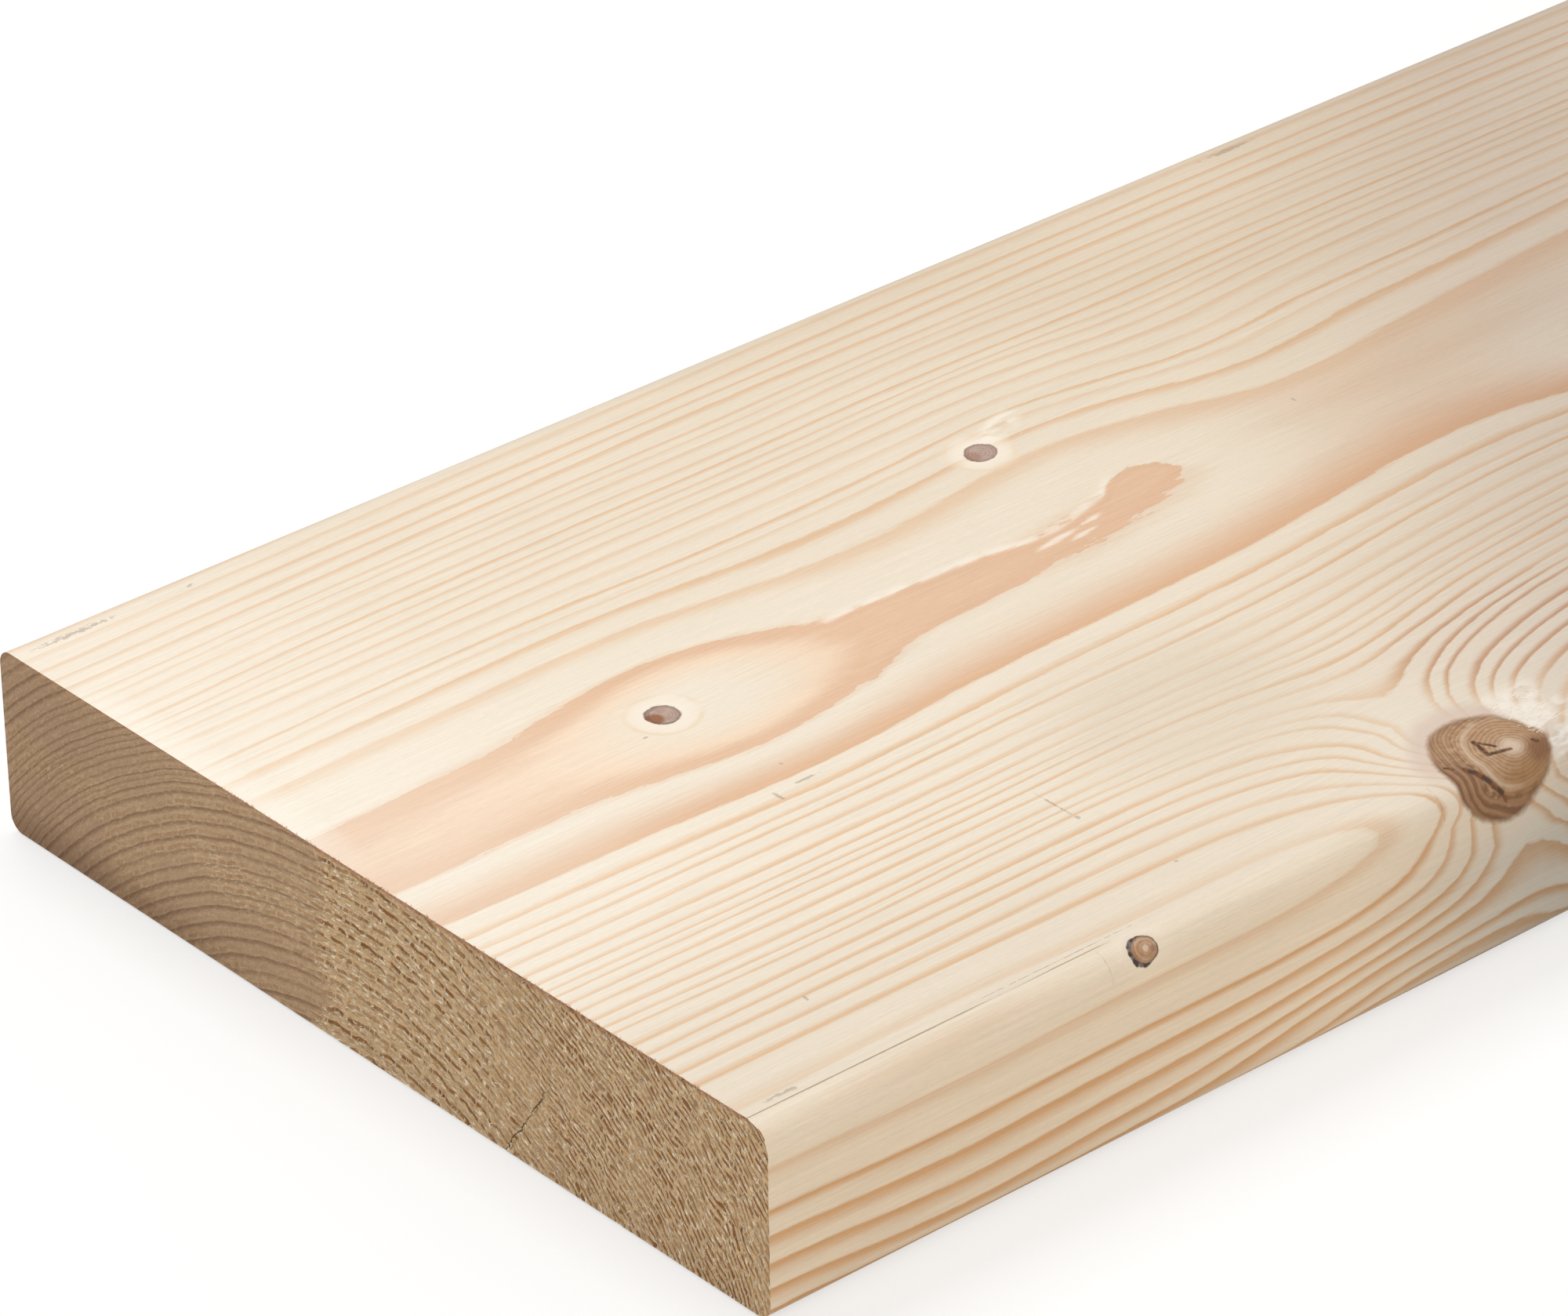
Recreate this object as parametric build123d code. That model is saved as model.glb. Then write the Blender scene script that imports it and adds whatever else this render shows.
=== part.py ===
from build123d import *
import os

# A planed softwood plank lying flat: one piece of stock with four eased long
# arrises and two ends sawn square.
# Millimetres. X runs along the grain, Y across the width, Z up, and the origin
# is the middle of the bottom face. The near end is at -X and the front edge at -Y.

# Planed stock size
length = 1800.0
width = 195.0
thickness = 35.0

# Radius of each eased long arris, as the planer's corner cutters left it
front_top_radius = 4.5
back_top_radius = 3.0
front_bottom_radius = 3.0
back_bottom_radius = 3.0

# The four corners of the section: place across the width, height, radius
section_corners = [
    (-width / 2, thickness, front_top_radius),
    (width / 2, thickness, back_top_radius),
    (-width / 2, 0, front_bottom_radius),
    (width / 2, 0, back_bottom_radius),
]


def planed_section():
    """The planed outline in the plane of the near end, standing on the floor line."""
    outline = Rectangle(width, thickness, align=(Align.CENTER, Align.MIN))
    for across, height, radius in section_corners:
        corner = outline.vertices().sort_by_distance((across, height))[0]
        outline = fillet(corner, radius)
    return outline


def plank():
    """The section run along the grain from the near end to the far one."""
    near_end = Plane(origin=(-length / 2, 0, 0), x_dir=(0, 1, 0), z_dir=(1, 0, 0))
    return extrude(near_end * planed_section(), length)


os.makedirs("parts", exist_ok=True)
export_step(plank(), "parts/plank.step")
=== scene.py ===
import math
import bpy
import numpy as np
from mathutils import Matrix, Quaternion, Vector


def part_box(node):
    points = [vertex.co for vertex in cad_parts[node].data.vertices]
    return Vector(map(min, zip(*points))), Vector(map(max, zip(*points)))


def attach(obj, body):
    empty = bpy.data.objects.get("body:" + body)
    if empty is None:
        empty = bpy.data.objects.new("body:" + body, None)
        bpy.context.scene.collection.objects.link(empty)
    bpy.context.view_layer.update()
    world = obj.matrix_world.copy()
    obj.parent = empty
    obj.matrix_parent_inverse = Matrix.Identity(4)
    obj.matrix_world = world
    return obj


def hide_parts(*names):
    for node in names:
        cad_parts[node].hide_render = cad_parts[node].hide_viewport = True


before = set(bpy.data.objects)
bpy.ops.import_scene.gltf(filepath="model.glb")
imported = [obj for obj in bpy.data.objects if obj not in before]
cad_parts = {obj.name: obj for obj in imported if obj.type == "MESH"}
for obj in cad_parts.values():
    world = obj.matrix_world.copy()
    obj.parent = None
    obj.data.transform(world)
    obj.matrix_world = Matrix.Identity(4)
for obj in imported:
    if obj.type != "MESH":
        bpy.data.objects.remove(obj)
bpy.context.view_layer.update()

# Planed softwood plank. All wood sizes below are millimetres: x from the near end along
# the grain, y towards the back edge, z up from the floor.
lowCorner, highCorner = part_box("plank")
perMetre = 1000
boardSizes = [(high - low) * perMetre for low, high in zip(lowCorner, highCorner)]
boardLength, boardWidth, boardThickness = boardSizes
print("board", round(boardLength, 2), round(boardWidth, 2), round(boardThickness, 2))

hashing = {"u": 127.1, "v": 311.7, "seed": 74.7, "scale": 43758.5453}


# Smooth noise from a hashed lattice, 0 to 1
def latticeNoise(u, v, seed):
    u, v = np.broadcast_arrays(np.asarray(u, float), np.asarray(v, float))
    cellU, cellV = np.floor(u), np.floor(v)
    partU, partV = u - cellU, v - cellV
    partU = partU * partU * (3 - 2 * partU)
    partV = partV * partV * (3 - 2 * partV)

    def corner(a, b):
        turn = a * hashing["u"] + b * hashing["v"] + seed * hashing["seed"]
        return np.modf(np.abs(np.sin(turn) * hashing["scale"]))[0]

    low = corner(cellU, cellV) * (1 - partU) + corner(cellU + 1, cellV) * partU
    high = corner(cellU, cellV + 1) * (1 - partU) + corner(cellU + 1, cellV + 1) * partU
    return low * (1 - partV) + high * partV


# Rises from 0 at start to 1 at stop, or falls where start is the larger
def smoothStep(value, start, stop):
    part = np.clip((value - start) / (stop - start), 0, 1)
    return part * part * (3 - 2 * part)


# The log the plank was cut from: where its pith runs below the plank
log = {
    "pithY": 2.0, "pithZ": -70.0,
    "driftY": 0.0023, "driftZ": -0.0004,
    "swayY": 1.94, "swayYLength": 620.0, "swayYPhase": -1.54,
    "swayZ": 0.76, "swayZLength": 460.0, "swayZPhase": 0.15,
    "lean": 0.052,
    "runOutStart": 320.0, "runOutBend": 60.0, "runOut": 0.0035,
}
# Outer edge of each year's ring, from the pith
ringEdges = [
    63.2, 66.1, 69.0, 71.8, 74.6, 77.5, 80.2, 83.0, 85.6, 88.3, 90.6, 93.2, 95.4, 97.9, 100.2, 102.6,
    105.1, 107.7, 109.3, 110.5, 111.4, 112.9, 114.5, 115.8, 117.0, 117.9, 119.2, 120.6, 122.5, 123.9,
    125.1, 127.5, 129.3, 131.4, 134.0, 136.7, 142.4, 147.0, 151.0, 156.0, 161.0,
]
# Branches: place where each leaves the wood, radius there, slope along the grain, how much bark
# sits round it, tone (0 grey, 1 brown), and the swellings of the rings round it: height, half
# length, half width, shift. "drift" leans those swellings along the grain, inward and outward.
plainKnot = {"moved": (0.0, 0.0), "stretch": 1.12, "skew": 0.0, "fold": 0.0, "drift": (0.0, 0.0)}
measuredKnots = [
    {"at": (67.4, 6.6, 35.0), "radius": 3.05, "slope": 0.25, "bark": 0.3, "tone": 0.1, "stretch": 1.08,
     "swell": [(1.18, 24.5, 27.6, 9.7)]},
    {"at": (164.8, 37.7, 35.0), "radius": 3.0, "slope": 0.20, "bark": 0.14, "tone": 0.05, "stretch": 1.06,
     "swell": [(0.19, 12.5, 20.0, 8.7)]},
    {"at": (78.0, -96.4, 33.5), "radius": 2.4, "slope": 0.15, "bark": 1.0, "tone": 0.75,
     "swell": [(0.41, 21.0, 7.5, 4.0)]},
    {"at": (157.0, -92.4, 35.0), "radius": 9.9, "slope": 0.10, "bark": 0.0, "tone": 1.0,
     "moved": (1.6, -0.9), "stretch": 1.13, "skew": 0.25, "fold": -11.0, "drift": (0.35, 1.10),
     "swell": [(7.4, 33.4, 27.5, 1.2), (11.7, 14.6, 14.5, 0.2)]},
]
knots = [plainKnot | knot for knot in measuredKnots]
largeKnot = knots[3]
# Branches further along, in the whorls of later years: x, angle from straight up, radius, bark, tone
laterBranches = [
    (472, 21, 3.4, 0.3, 0.2), (516, -19, 8.6, 0.2, 0.9), (531, 37, 6.8, 0.9, 0.8), (563, 4, 2.6, 0.2, 0.1),
    (742, -36, 3.2, 0.8, 0.6), (896, 25, 9.4, 0.2, 1.0), (911, -43, 6.0, 0.4, 0.8), (934, -9, 3.6, 0.9, 0.6),
    (1093, 12, 2.6, 0.2, 0.2), (1277, -29, 7.6, 0.3, 0.9), (1291, 8, 4.6, 0.9, 0.8),
    (1316, 42, 8.4, 0.2, 1.0), (1468, -14, 3.0, 0.3, 0.2), (1622, 31, 7.4, 0.3, 0.9),
    (1641, -24, 4.2, 0.9, 0.7), (1663, 2, 3.2, 0.2, 0.2),
]
laterHabit = {
    "slope": 0.18, "flattest": 0.72,
    "swell": [(0.50, 3.2, 2.6, 0.2), (0.75, 1.4, 1.4, 0.0)],  # in radii
}
for along, angle, radius, bark, tone in laterBranches:
    turn = math.radians(angle)
    reach = (boardThickness - log["pithZ"]) / max(math.cos(turn), laterHabit["flattest"])
    knots.append(plainKnot | {
        "at": (float(along), log["pithY"] + reach * math.sin(turn), log["pithZ"] + reach * math.cos(turn)),
        "radius": radius, "slope": laterHabit["slope"], "bark": bark, "tone": tone,
        "swell": [tuple(share * radius for share in swell) for swell in laterHabit["swell"]],
    })
# Long gentle waves of the rings that no branch makes: place, height, half length, half width
ringWaves = [
    (119.0, 25.6, -1.18, 59.0, 35.0), (253.0, 10.6, -1.26, 54.0, 51.0), (218.0, 42.0, -1.22, 24.5, 26.0),
    (0.0, -6.0, 0.42, 32.0, 9.0), (292.0, -12.0, 3.0, 45.0, 22.0), (130.0, 28.0, -0.45, 28.0, 13.0),
    (225.0, 24.0, -0.30, 40.0, 11.0),
    (430.0, -30.0, -1.1, 70.0, 40.0), (690.0, 24.0, 1.3, 90.0, 46.0), (1010.0, -22.0, -1.4, 80.0, 52.0),
    (1190.0, 36.0, 1.1, 75.0, 40.0), (1400.0, 14.0, -1.2, 85.0, 44.0), (1545.0, -34.0, 1.2, 70.0, 38.0),
]
# Small waver of the rings, growing from the heart side outwards
ringWaver = {"length": 46.0, "turns": 26.0, "height": 0.5, "fullAt": 60.0, "seed": 3}
# On the front edge the rings sink past the near end and climb towards the large knot
frontRings = {
    "across": (72.0, 97.5), "level": 1.2, "tilt": 0.14, "tiltTop": 18.0,
    "sink": 1.0, "sinkAt": 38.0, "sinkHalf": 30.0,
    "climb": 0.3, "climbMost": 4.5, "climbTop": 20.0, "climbAt": 138.0, "climbHalf": 38.0,
    "fade": (320.0, 180.0),
}
# Tongue of late wood that the planer just grazed, past the first knot: its upper and lower border
grazed = {
    "edge": 105.1, "slope": 0.16, "fall": 1.0, "depth": 0.36, "above": 20,
    "x": (98, 101, 104, 107, 110, 115, 120, 132, 141, 150, 156, 162, 170, 174, 180, 185, 187),
    "upper": (12.6, 13.0, 13.4, 11.4, 11.5, 11.6, 11.4, 10.9, 10.4, 8.8, 8.6, 10.0, 12.2, 15.4, 17.0,
              15.0, 11.0),
    "lower": (-9.0, -7.8, -6.6, -5.3, -4.0, -2.7, -1.9, -1.4, -0.9, 0.9, 2.0, 3.1, 4.5, 5.2, 7.2, 8.6, 10.6),
}
# How a branch thickens from the pith outwards, how near the pith it still counts, how far it drifts
branchHabit = {"thinnest": 0.35, "growth": 0.65, "reach": (0.2, 1.2), "leastDepth": 20,
               "driftFrom": 8, "driftInward": 40, "driftOutward": 25}


def pithAt(x):
    past = x - log["runOutStart"]
    run = (past + np.sqrt(past * past + log["runOutBend"] ** 2)) / 2
    centreY = (log["pithY"] + log["driftY"] * x
               + log["swayY"] * np.sin(2 * np.pi * x / log["swayYLength"] + log["swayYPhase"]))
    centreZ = (log["pithZ"] + log["driftZ"] * x - log["runOut"] * run
               + log["swayZ"] * np.sin(2 * np.pi * x / log["swayZLength"] + log["swayZPhase"]))
    return centreY, centreZ


def branchFrame(knot, x, y, z):
    atX, atY, atZ = knot["at"]
    centreY, centreZ = pithAt(np.array(atX))
    reach = math.hypot(atY - centreY, atZ - centreZ)
    outY, outZ = (atY - centreY) / reach, (atZ - centreZ) / reach
    depth = (y - centreY) * outY + (z - centreZ) * outZ
    along = x - atX - knot["slope"] * (depth - reach)
    aside = (y - atY) * outZ - (z - atZ) * outY
    grown = np.clip(depth / reach, *branchHabit["reach"])
    radius = knot["radius"] * (branchHabit["thinnest"] + branchHabit["growth"] * grown)
    return along, aside, radius, depth


# A branch's own upright ellipse, from its skewed one that folds back beyond the arris
def ownPlace(knot, along, aside):
    movedAlong, movedAside = knot["moved"]
    skewed = knot["skew"] * np.maximum(aside, knot["fold"] - aside)
    return (along - movedAlong - skewed) / knot["stretch"], aside - movedAside


# Place across the branch, in its own radii
def knotSpot(knot, x, y, z):
    along, aside, radius, depth = branchFrame(knot, x, y, z)
    along, aside = ownPlace(knot, along, aside)
    return along / radius, aside / radius, radius, depth


def bell(value, middle, half):
    return np.exp(-((value - middle) / half) ** 2)


def frontShift(x, y, z):
    look = frontRings
    shift = look["level"] - look["tilt"] * np.minimum(z, look["tiltTop"])
    shift = shift + look["sink"] * bell(x, look["sinkAt"], look["sinkHalf"])
    climb = np.clip(look["climb"] * (look["climbTop"] - z), 0, look["climbMost"])
    shift = shift - climb * bell(x, look["climbAt"], look["climbHalf"])
    return shift * smoothStep(-y, *look["across"]) * smoothStep(x, *look["fade"])


# How far a place lies above the tongue's upper border, and how far outside its whole outline
def aroundTongue(x, y):
    above = y - np.interp(x, grazed["x"], grazed["upper"])
    outside = np.maximum(above, np.interp(x, grazed["x"], grazed["lower"]) - y)
    return above, np.maximum(outside, np.maximum(grazed["x"][0] - x, x - grazed["x"][-1]))


# Distance from the pith as the rings see it: equal values lie on one ring
def ringRadiusAt(x, y, z):
    centreY, centreZ = pithAt(x)
    offY, offZ = y - centreY, z - centreZ
    radius = np.hypot(offY, offZ) - log["lean"] * offY
    for knot in knots:
        along, aside, _, _ = branchFrame(knot, x, y, z)
        inward, outward = knot["drift"]
        along = along - inward * np.clip(aside - branchHabit["driftFrom"], 0, branchHabit["driftInward"])
        along = along - outward * np.clip(-aside - branchHabit["driftFrom"], 0, branchHabit["driftOutward"])
        for height, halfLength, halfWidth, shift in knot["swell"]:
            radius = radius - height * bell(along, shift, halfLength) * bell(aside, 0, halfWidth)
    for atX, atY, height, halfLength, halfWidth in ringWaves:
        radius = radius - height * bell(x, atX, halfLength) * bell(y, atY, halfWidth)
    turned = np.arctan2(offY, offZ) * ringWaver["turns"]
    wave = latticeNoise(x / ringWaver["length"], turned, ringWaver["seed"]) - 0.5
    radius = radius + ringWaver["height"] * wave * np.clip(np.abs(offY) / ringWaver["fullAt"], 0, 1)
    radius = radius + frontShift(x, y, z)
    _, outside = aroundTongue(x, y)
    tongue = np.maximum(grazed["slope"] * np.minimum(outside, 0), -grazed["depth"])
    tongue = grazed["edge"] + tongue + grazed["fall"] * np.maximum(outside, 0)
    return np.where(z > grazed["above"], np.minimum(radius, tongue), radius)


# Planed section walked from the foot of the front edge: up, over the top, down the back, under
section = {
    "frontTop": 4.5, "backTop": 3.0, "frontBottom": 3.0, "backBottom": 3.0,
    "sideCells": 12, "faceCells": 80, "arcCells": 4, "stepCell": 0.35,
}
# Rows of cells along the grain, closest where the photo shows the wood: start, stop, pitch
rows = {"end": 2.4, "near": (6.2, 300, 3.8), "middle": (303, 450, 6.0), "farStart": 455, "farPitch": 16.0,
        "farGap": 12}
split = 8  # lattice steps along a cell's side, the finest the mesh gets
nearStep, farStep = 2, 4  # lattice steps between corners at the near and the far end


# Places between neighbours, a whole cell's worth of steps after each
def latticeBetween(places):
    return np.concatenate([a + (b - a) * np.arange(split) / split for a, b in zip(places[:-1], places[1:])])


def sectionWalk():
    half, thick = boardWidth / 2, boardThickness
    frontTop, backTop = section["frontTop"], section["backTop"]
    frontBottom, backBottom = section["frontBottom"], section["backBottom"]
    sideCells, faceCells, arcCells = section["sideCells"], section["faceCells"], section["arcCells"]
    sides = [
        ("line", (-half, frontBottom), (-half, thick - frontTop), sideCells),
        ("arc", (-half + frontTop, thick - frontTop), (frontTop, 180), arcCells),
        ("line", (-half + frontTop, thick), (half - backTop, thick), faceCells),
        ("arc", (half - backTop, thick - backTop), (backTop, 90), arcCells),
        ("line", (half, thick - backTop), (half, backBottom), sideCells),
        ("arc", (half - backBottom, backBottom), (backBottom, 0), arcCells),
        ("line", (half - backBottom, 0.0), (-half + frontBottom, 0.0), faceCells),
        ("arc", (-half + frontBottom, frontBottom), (frontBottom, -90), arcCells),
    ]
    places, normals, sideNumbers = [], [], []
    for number, (form, first, second, cells) in enumerate(sides):
        parts = np.linspace(0, 1, cells + 1)
        if number == 2:  # a narrow cell where the planer's corner cutter left its step
            narrow = section["stepCell"] / (second[0] - first[0])
            parts = np.concatenate([[0.0], np.linspace(narrow, 1, cells)])
        fine = latticeBetween(parts)
        if form == "line":
            start, end = np.array(first), np.array(second)
            run = (end - start) / np.linalg.norm(end - start)
            places.append(start + fine[:, None] * (end - start))
            normals.append(np.tile([-run[1], run[0]], (len(fine), 1)))
        else:
            angles = np.radians(second[1] - 90 * fine)
            out = np.stack([np.cos(angles), np.sin(angles)], 1)
            places.append(np.array(first) + second[0] * out)
            normals.append(out)
        sideNumbers.append(np.full(len(fine), number))
    return np.concatenate(places), np.concatenate(normals), np.concatenate(sideNumbers)


loopPlaces, loopNormals, loopSides = sectionWalk()
loopSize = len(loopPlaces)
loopCells = loopSize // split
rowPlaces = np.concatenate([
    [0.0, rows["end"]], np.arange(*rows["near"]), np.arange(*rows["middle"]),
    np.arange(rows["farStart"], boardLength - rows["farGap"], rows["farPitch"]),
    [boardLength - rows["end"], boardLength]])
rowCells = len(rowPlaces) - 1
fineRows = np.concatenate([latticeBetween(rowPlaces), [boardLength]])
print("section", loopCells, "cells,", rowCells, "rows")

# Cells that get split: both ends' first row, and round every branch and torn patch
cellX = (rowPlaces[:-1] + rowPlaces[1:]) / 2
cellSpot = loopPlaces[split // 2::split]
gridX, gridY = np.meshgrid(cellX, cellSpot[:, 0], indexing="ij")
gridZ = np.broadcast_to(cellSpot[:, 1], gridX.shape)
cellStep = np.full((rowCells, loopCells), split)
cellStep[0] = nearStep
cellStep[-1] = farStep
refined = {
    "round": 1.2,  # radii round a branch, and as many millimetres more
    "topFrom": 30,
    "boxes": [  # x, y on the top face, step: the grazed tongue, torn grain by two of the knots
        ((100, 190), (-5, 19), 2), ((166, 182), (36, 48), 2), ((166, 182), (-97.5, -77), 1),
    ],
}


def refine(where, step):
    cellStep[where] = np.minimum(cellStep[where], step)


for number, knot in enumerate(knots):
    along, aside, radius, depth = knotSpot(knot, gridX, gridY, gridZ)
    reach = np.maximum(np.abs(along) - 0.5 * np.diff(rowPlaces)[:, None] / radius, 0)
    isRound = np.hypot(reach, aside) < refined["round"] + refined["round"] / radius
    refine(isRound & (depth > branchHabit["leastDepth"]), 1 if number < len(measuredKnots) else 2)
for (fromX, toX), (fromY, toY), step in refined["boxes"]:
    isInside = (gridX > fromX) & (gridX < toX) & (gridY > fromY) & (gridY < toY)
    refine(isInside & (gridZ > refined["topFrom"]), step)

# Corners: the lattice points that each cell's step uses
cellSteps = (1, 2, 4, 8)
isUsed = np.zeros((rowCells * split + 1, loopSize), bool)
for step in cellSteps:
    cellI, cellJ = np.nonzero(cellStep == step)
    for a in range(0, split + 1, step):
        for b in range(0, split + 1, step):
            isUsed[cellI * split + a, (cellJ * split + b) % loopSize] = True
vertexIndex = np.full(isUsed.shape, -1)
vertexIndex[isUsed] = np.arange(isUsed.sum())
keyI, keyJ = np.nonzero(isUsed)

# Faces: plain quads, and where a finer neighbour adds corners, polygons that take them in
faces = []
for step in cellSteps:
    cellI, cellJ = np.nonzero(cellStep == step)
    for a in range(0, split, step):
        for b in range(0, split, step):
            rowA, colA = cellI * split + a, cellJ * split + b
            rowB, colB = rowA + step, (colA + step) % loopSize
            extra = np.zeros(len(rowA), bool)
            for k in range(1, step):
                extra |= isUsed[rowA + k, colA] | isUsed[rowA + k, colB]
                extra |= isUsed[rowA, colA + k] | isUsed[rowB, colA + k]
            quads = np.stack([vertexIndex[rowA, colA], vertexIndex[rowB, colA],
                              vertexIndex[rowB, colB], vertexIndex[rowA, colB]], 1)
            faces += quads[~extra].tolist()
            for top, left in zip(rowA[extra].tolist(), colA[extra].tolist()):
                ring = [(top + k, left) for k in range(step)]
                ring += [(top + step, left + k) for k in range(step)]
                ring += [(top + step - k, left + step) for k in range(step)]
                ring += [(top, left + step - k) for k in range(step)]
                ringCorners = [vertexIndex[i, j % loopSize] for i, j in ring]
                faces.append([int(c) for c in ringCorners if c >= 0])
sideFaceCount = len(faces)
print("long faces", sideFaceCount, "with", len(keyI), "corners")


# End faces: a grid drawn between the four sides of the rim
def rimLoops(step):
    sideCount = (section["sideCells"] + section["arcCells"]) * split // step
    faceCount = (section["faceCells"] + section["arcCells"]) * split // step
    start = loopSize - section["arcCells"] * split // 2

    def run(first, count):
        return (start + (first + np.arange(count + 1)) * step) % loopSize

    front, top = run(0, sideCount), run(sideCount, faceCount)
    back = run(sideCount + faceCount, sideCount)[::-1]
    bottom = run(2 * sideCount + faceCount, faceCount)[::-1]
    return front, top, back, bottom


def endPlaces(rim):
    front, back = loopPlaces[rim[0]][None], loopPlaces[rim[2]][None]
    top, bottom = loopPlaces[rim[1]][:, None], loopPlaces[rim[3]][:, None]
    across = np.linspace(0, 1, len(rim[1]))[:, None, None]
    up = np.linspace(0, 1, len(rim[0]))[None, :, None]
    flat = (bottom * (1 - up) + top * up + front * (1 - across) + back * across
            - front[:, :1] * (1 - across) * (1 - up) - front[:, -1:] * (1 - across) * up
            - back[:, :1] * across * (1 - up) - back[:, -1:] * across * up)
    return flat[1:-1, 1:-1]


innerPlaces = []
innerStart = len(keyI)
for row, step, order in ((0, nearStep, (0, 3, 2, 1)), (rowCells * split, farStep, (0, 1, 2, 3))):
    rim = rimLoops(step)
    inner = endPlaces(rim)
    innerCount = inner.shape[0] * inner.shape[1]
    grid = np.zeros((len(rim[1]), len(rim[0])), int)
    grid[1:-1, 1:-1] = innerStart + np.arange(innerCount).reshape(inner.shape[:2])
    grid[:, 0], grid[:, -1] = vertexIndex[row, rim[3]], vertexIndex[row, rim[1]]
    grid[0, :], grid[-1, :] = vertexIndex[row, rim[0]], vertexIndex[row, rim[2]]
    quads = np.stack([grid[:-1, :-1], grid[1:, :-1], grid[1:, 1:], grid[:-1, 1:]], -1).reshape(-1, 4)
    faces += quads[:, order].tolist()
    innerPlaces.append(inner.reshape(-1, 2))
    innerStart += innerCount
nearCount, farCount = len(innerPlaces[0]), len(innerPlaces[1])
print("end faces", len(faces) - sideFaceCount)

longCount = len(keyI)
flatInner = np.concatenate(innerPlaces)
allX = np.concatenate([fineRows[keyI], np.zeros(nearCount), np.full(farCount, boardLength)])
allY = np.concatenate([loopPlaces[keyJ, 0], flatInner[:, 0]])
allZ = np.concatenate([loopPlaces[keyJ, 1], flatInner[:, 1]])
allCount = len(allX)
allOut = np.zeros((allCount, 2))
allOut[:longCount] = loopNormals[keyJ]
isLong = np.arange(allCount) < longCount
isNear = np.concatenate([keyI == 0, np.ones(nearCount, bool), np.zeros(farCount, bool)])
isFar = np.concatenate([keyI == rowCells * split, np.zeros(nearCount, bool), np.ones(farCount, bool)])
ringRadius = ringRadiusAt(allX, allY, allZ)
print("rings from", round(ringRadius.min(), 1), "to", round(ringRadius.max(), 1))

# Nearest branch: place across it in its own radii, and how near
knotReach = {"none": 9.0, "fade": (3.2, 2.6)}
knotPlace = np.tile([knotReach["none"], knotReach["none"], 0.0], (allCount, 1))
knotLook = np.zeros((allCount, 3))
nearest = np.full(allCount, knotReach["none"])
for knot in knots:
    along, aside, radius, depth = knotSpot(knot, allX, allY, allZ)
    far = np.where(depth > branchHabit["leastDepth"], np.hypot(along, aside), knotReach["none"])
    closer = far < nearest
    nearest = np.where(closer, far, nearest)
    place = np.stack([along, aside, smoothStep(far, *knotReach["fade"])], 1)
    knotPlace[closer] = place[closer]
    knotLook[closer] = (knot["bark"], knot["tone"], knot["radius"])

# Sawn ends: torn hollows in rows along the rings, deeper where the saw left the wood rough
sawn = {
    "pitDepth": 0.42, "rowPhase": 0.24, "rowHalf": 0.20, "thinRing": (0.9, 1.9), "thinShare": 0.45,
    "dash": 2.3, "shortDash": 0.95, "dashShift": 7.3, "dashShare": 0.62, "dashDepth": 0.7,
    "torn": (0.40, 0.66),
    "fuzz": 0.20, "fuzzAlong": 1.1, "fuzzAcross": 0.8, "smoothFuzz": 0.15,
    "calm": 0.05, "calmRise": (0.0, 0.25), "calmFall": (0.95, 0.7),
    "roughEdge": 13.0, "edgeSoft": 3.0, "edgeWander": 5.0, "wanderLength": 7.0,
    "patchY": 16.0, "patchZ": 9.0, "spots": (0.52, 0.74),
    "roughPits": 0.6, "spotPits": 0.18, "spotRough": 0.22,
    "halfFront": (10, 18), "halfBack": (58, 44), "halfUp": (10, 20), "halfRough": 0.20,
    "rimShare": 0.14, "nearSeed": 11, "farSeed": 37, "farShare": 0.7,
}


def endRelief(y, z, radius, seed):
    centreY, centreZ = pithAt(np.array(0.0))
    arc = np.arctan2(y - centreY, z - centreZ) * radius
    count = np.interp(radius, ringEdges, np.arange(len(ringEdges)))
    number = np.minimum(np.floor(count), len(ringEdges) - 2)
    phase = count - number
    ringWidth = np.diff(ringEdges)[number.astype(int)]
    wander = sawn["edgeWander"] * (latticeNoise(z / sawn["wanderLength"], y * 0 + 1.0, seed) - 0.5)
    rough = smoothStep(y + wander, sawn["roughEdge"] + sawn["edgeSoft"], sawn["roughEdge"] - sawn["edgeSoft"])
    patch = latticeNoise(y / sawn["patchY"], z / sawn["patchZ"], seed + 1)
    spots = smoothStep(patch, *sawn["spots"])
    dash = sawn["dashShare"] * latticeNoise(arc / sawn["dash"] + sawn["dashShift"] * number, number, seed + 2)
    shortDash = latticeNoise(arc / sawn["shortDash"], radius / sawn["dashDepth"], seed + 3)
    dash = dash + (1 - sawn["dashShare"]) * shortDash
    wideRing = smoothStep(ringWidth, *sawn["thinRing"])
    pit = bell(phase, sawn["rowPhase"], sawn["rowHalf"]) * smoothStep(dash, *sawn["torn"])
    pit = pit * (sawn["thinShare"] + (1 - sawn["thinShare"]) * wideRing)
    tornShare = sawn["roughPits"] * rough * (1 + patch) + sawn["spotPits"] * spots * (1 - rough)
    pit = pit * np.clip(tornShare, 0, 1)
    fuzz = latticeNoise(arc / sawn["fuzzAlong"], radius / sawn["fuzzAcross"], seed + 4)
    fuzz = sawn["fuzz"] * fuzz * (sawn["smoothFuzz"] + (1 - sawn["smoothFuzz"]) * rough)
    calm = sawn["calm"] * smoothStep(phase, *sawn["calmRise"]) * smoothStep(phase, *sawn["calmFall"])
    half = smoothStep(y, *sawn["halfFront"]) * smoothStep(y, *sawn["halfBack"])
    half = half * smoothStep(z, *sawn["halfUp"])
    rough = np.clip(rough + sawn["spotRough"] * spots + sawn["halfRough"] * half, 0, 1)
    return sawn["pitDepth"] * pit + calm + fuzz, rough, arc


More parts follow.
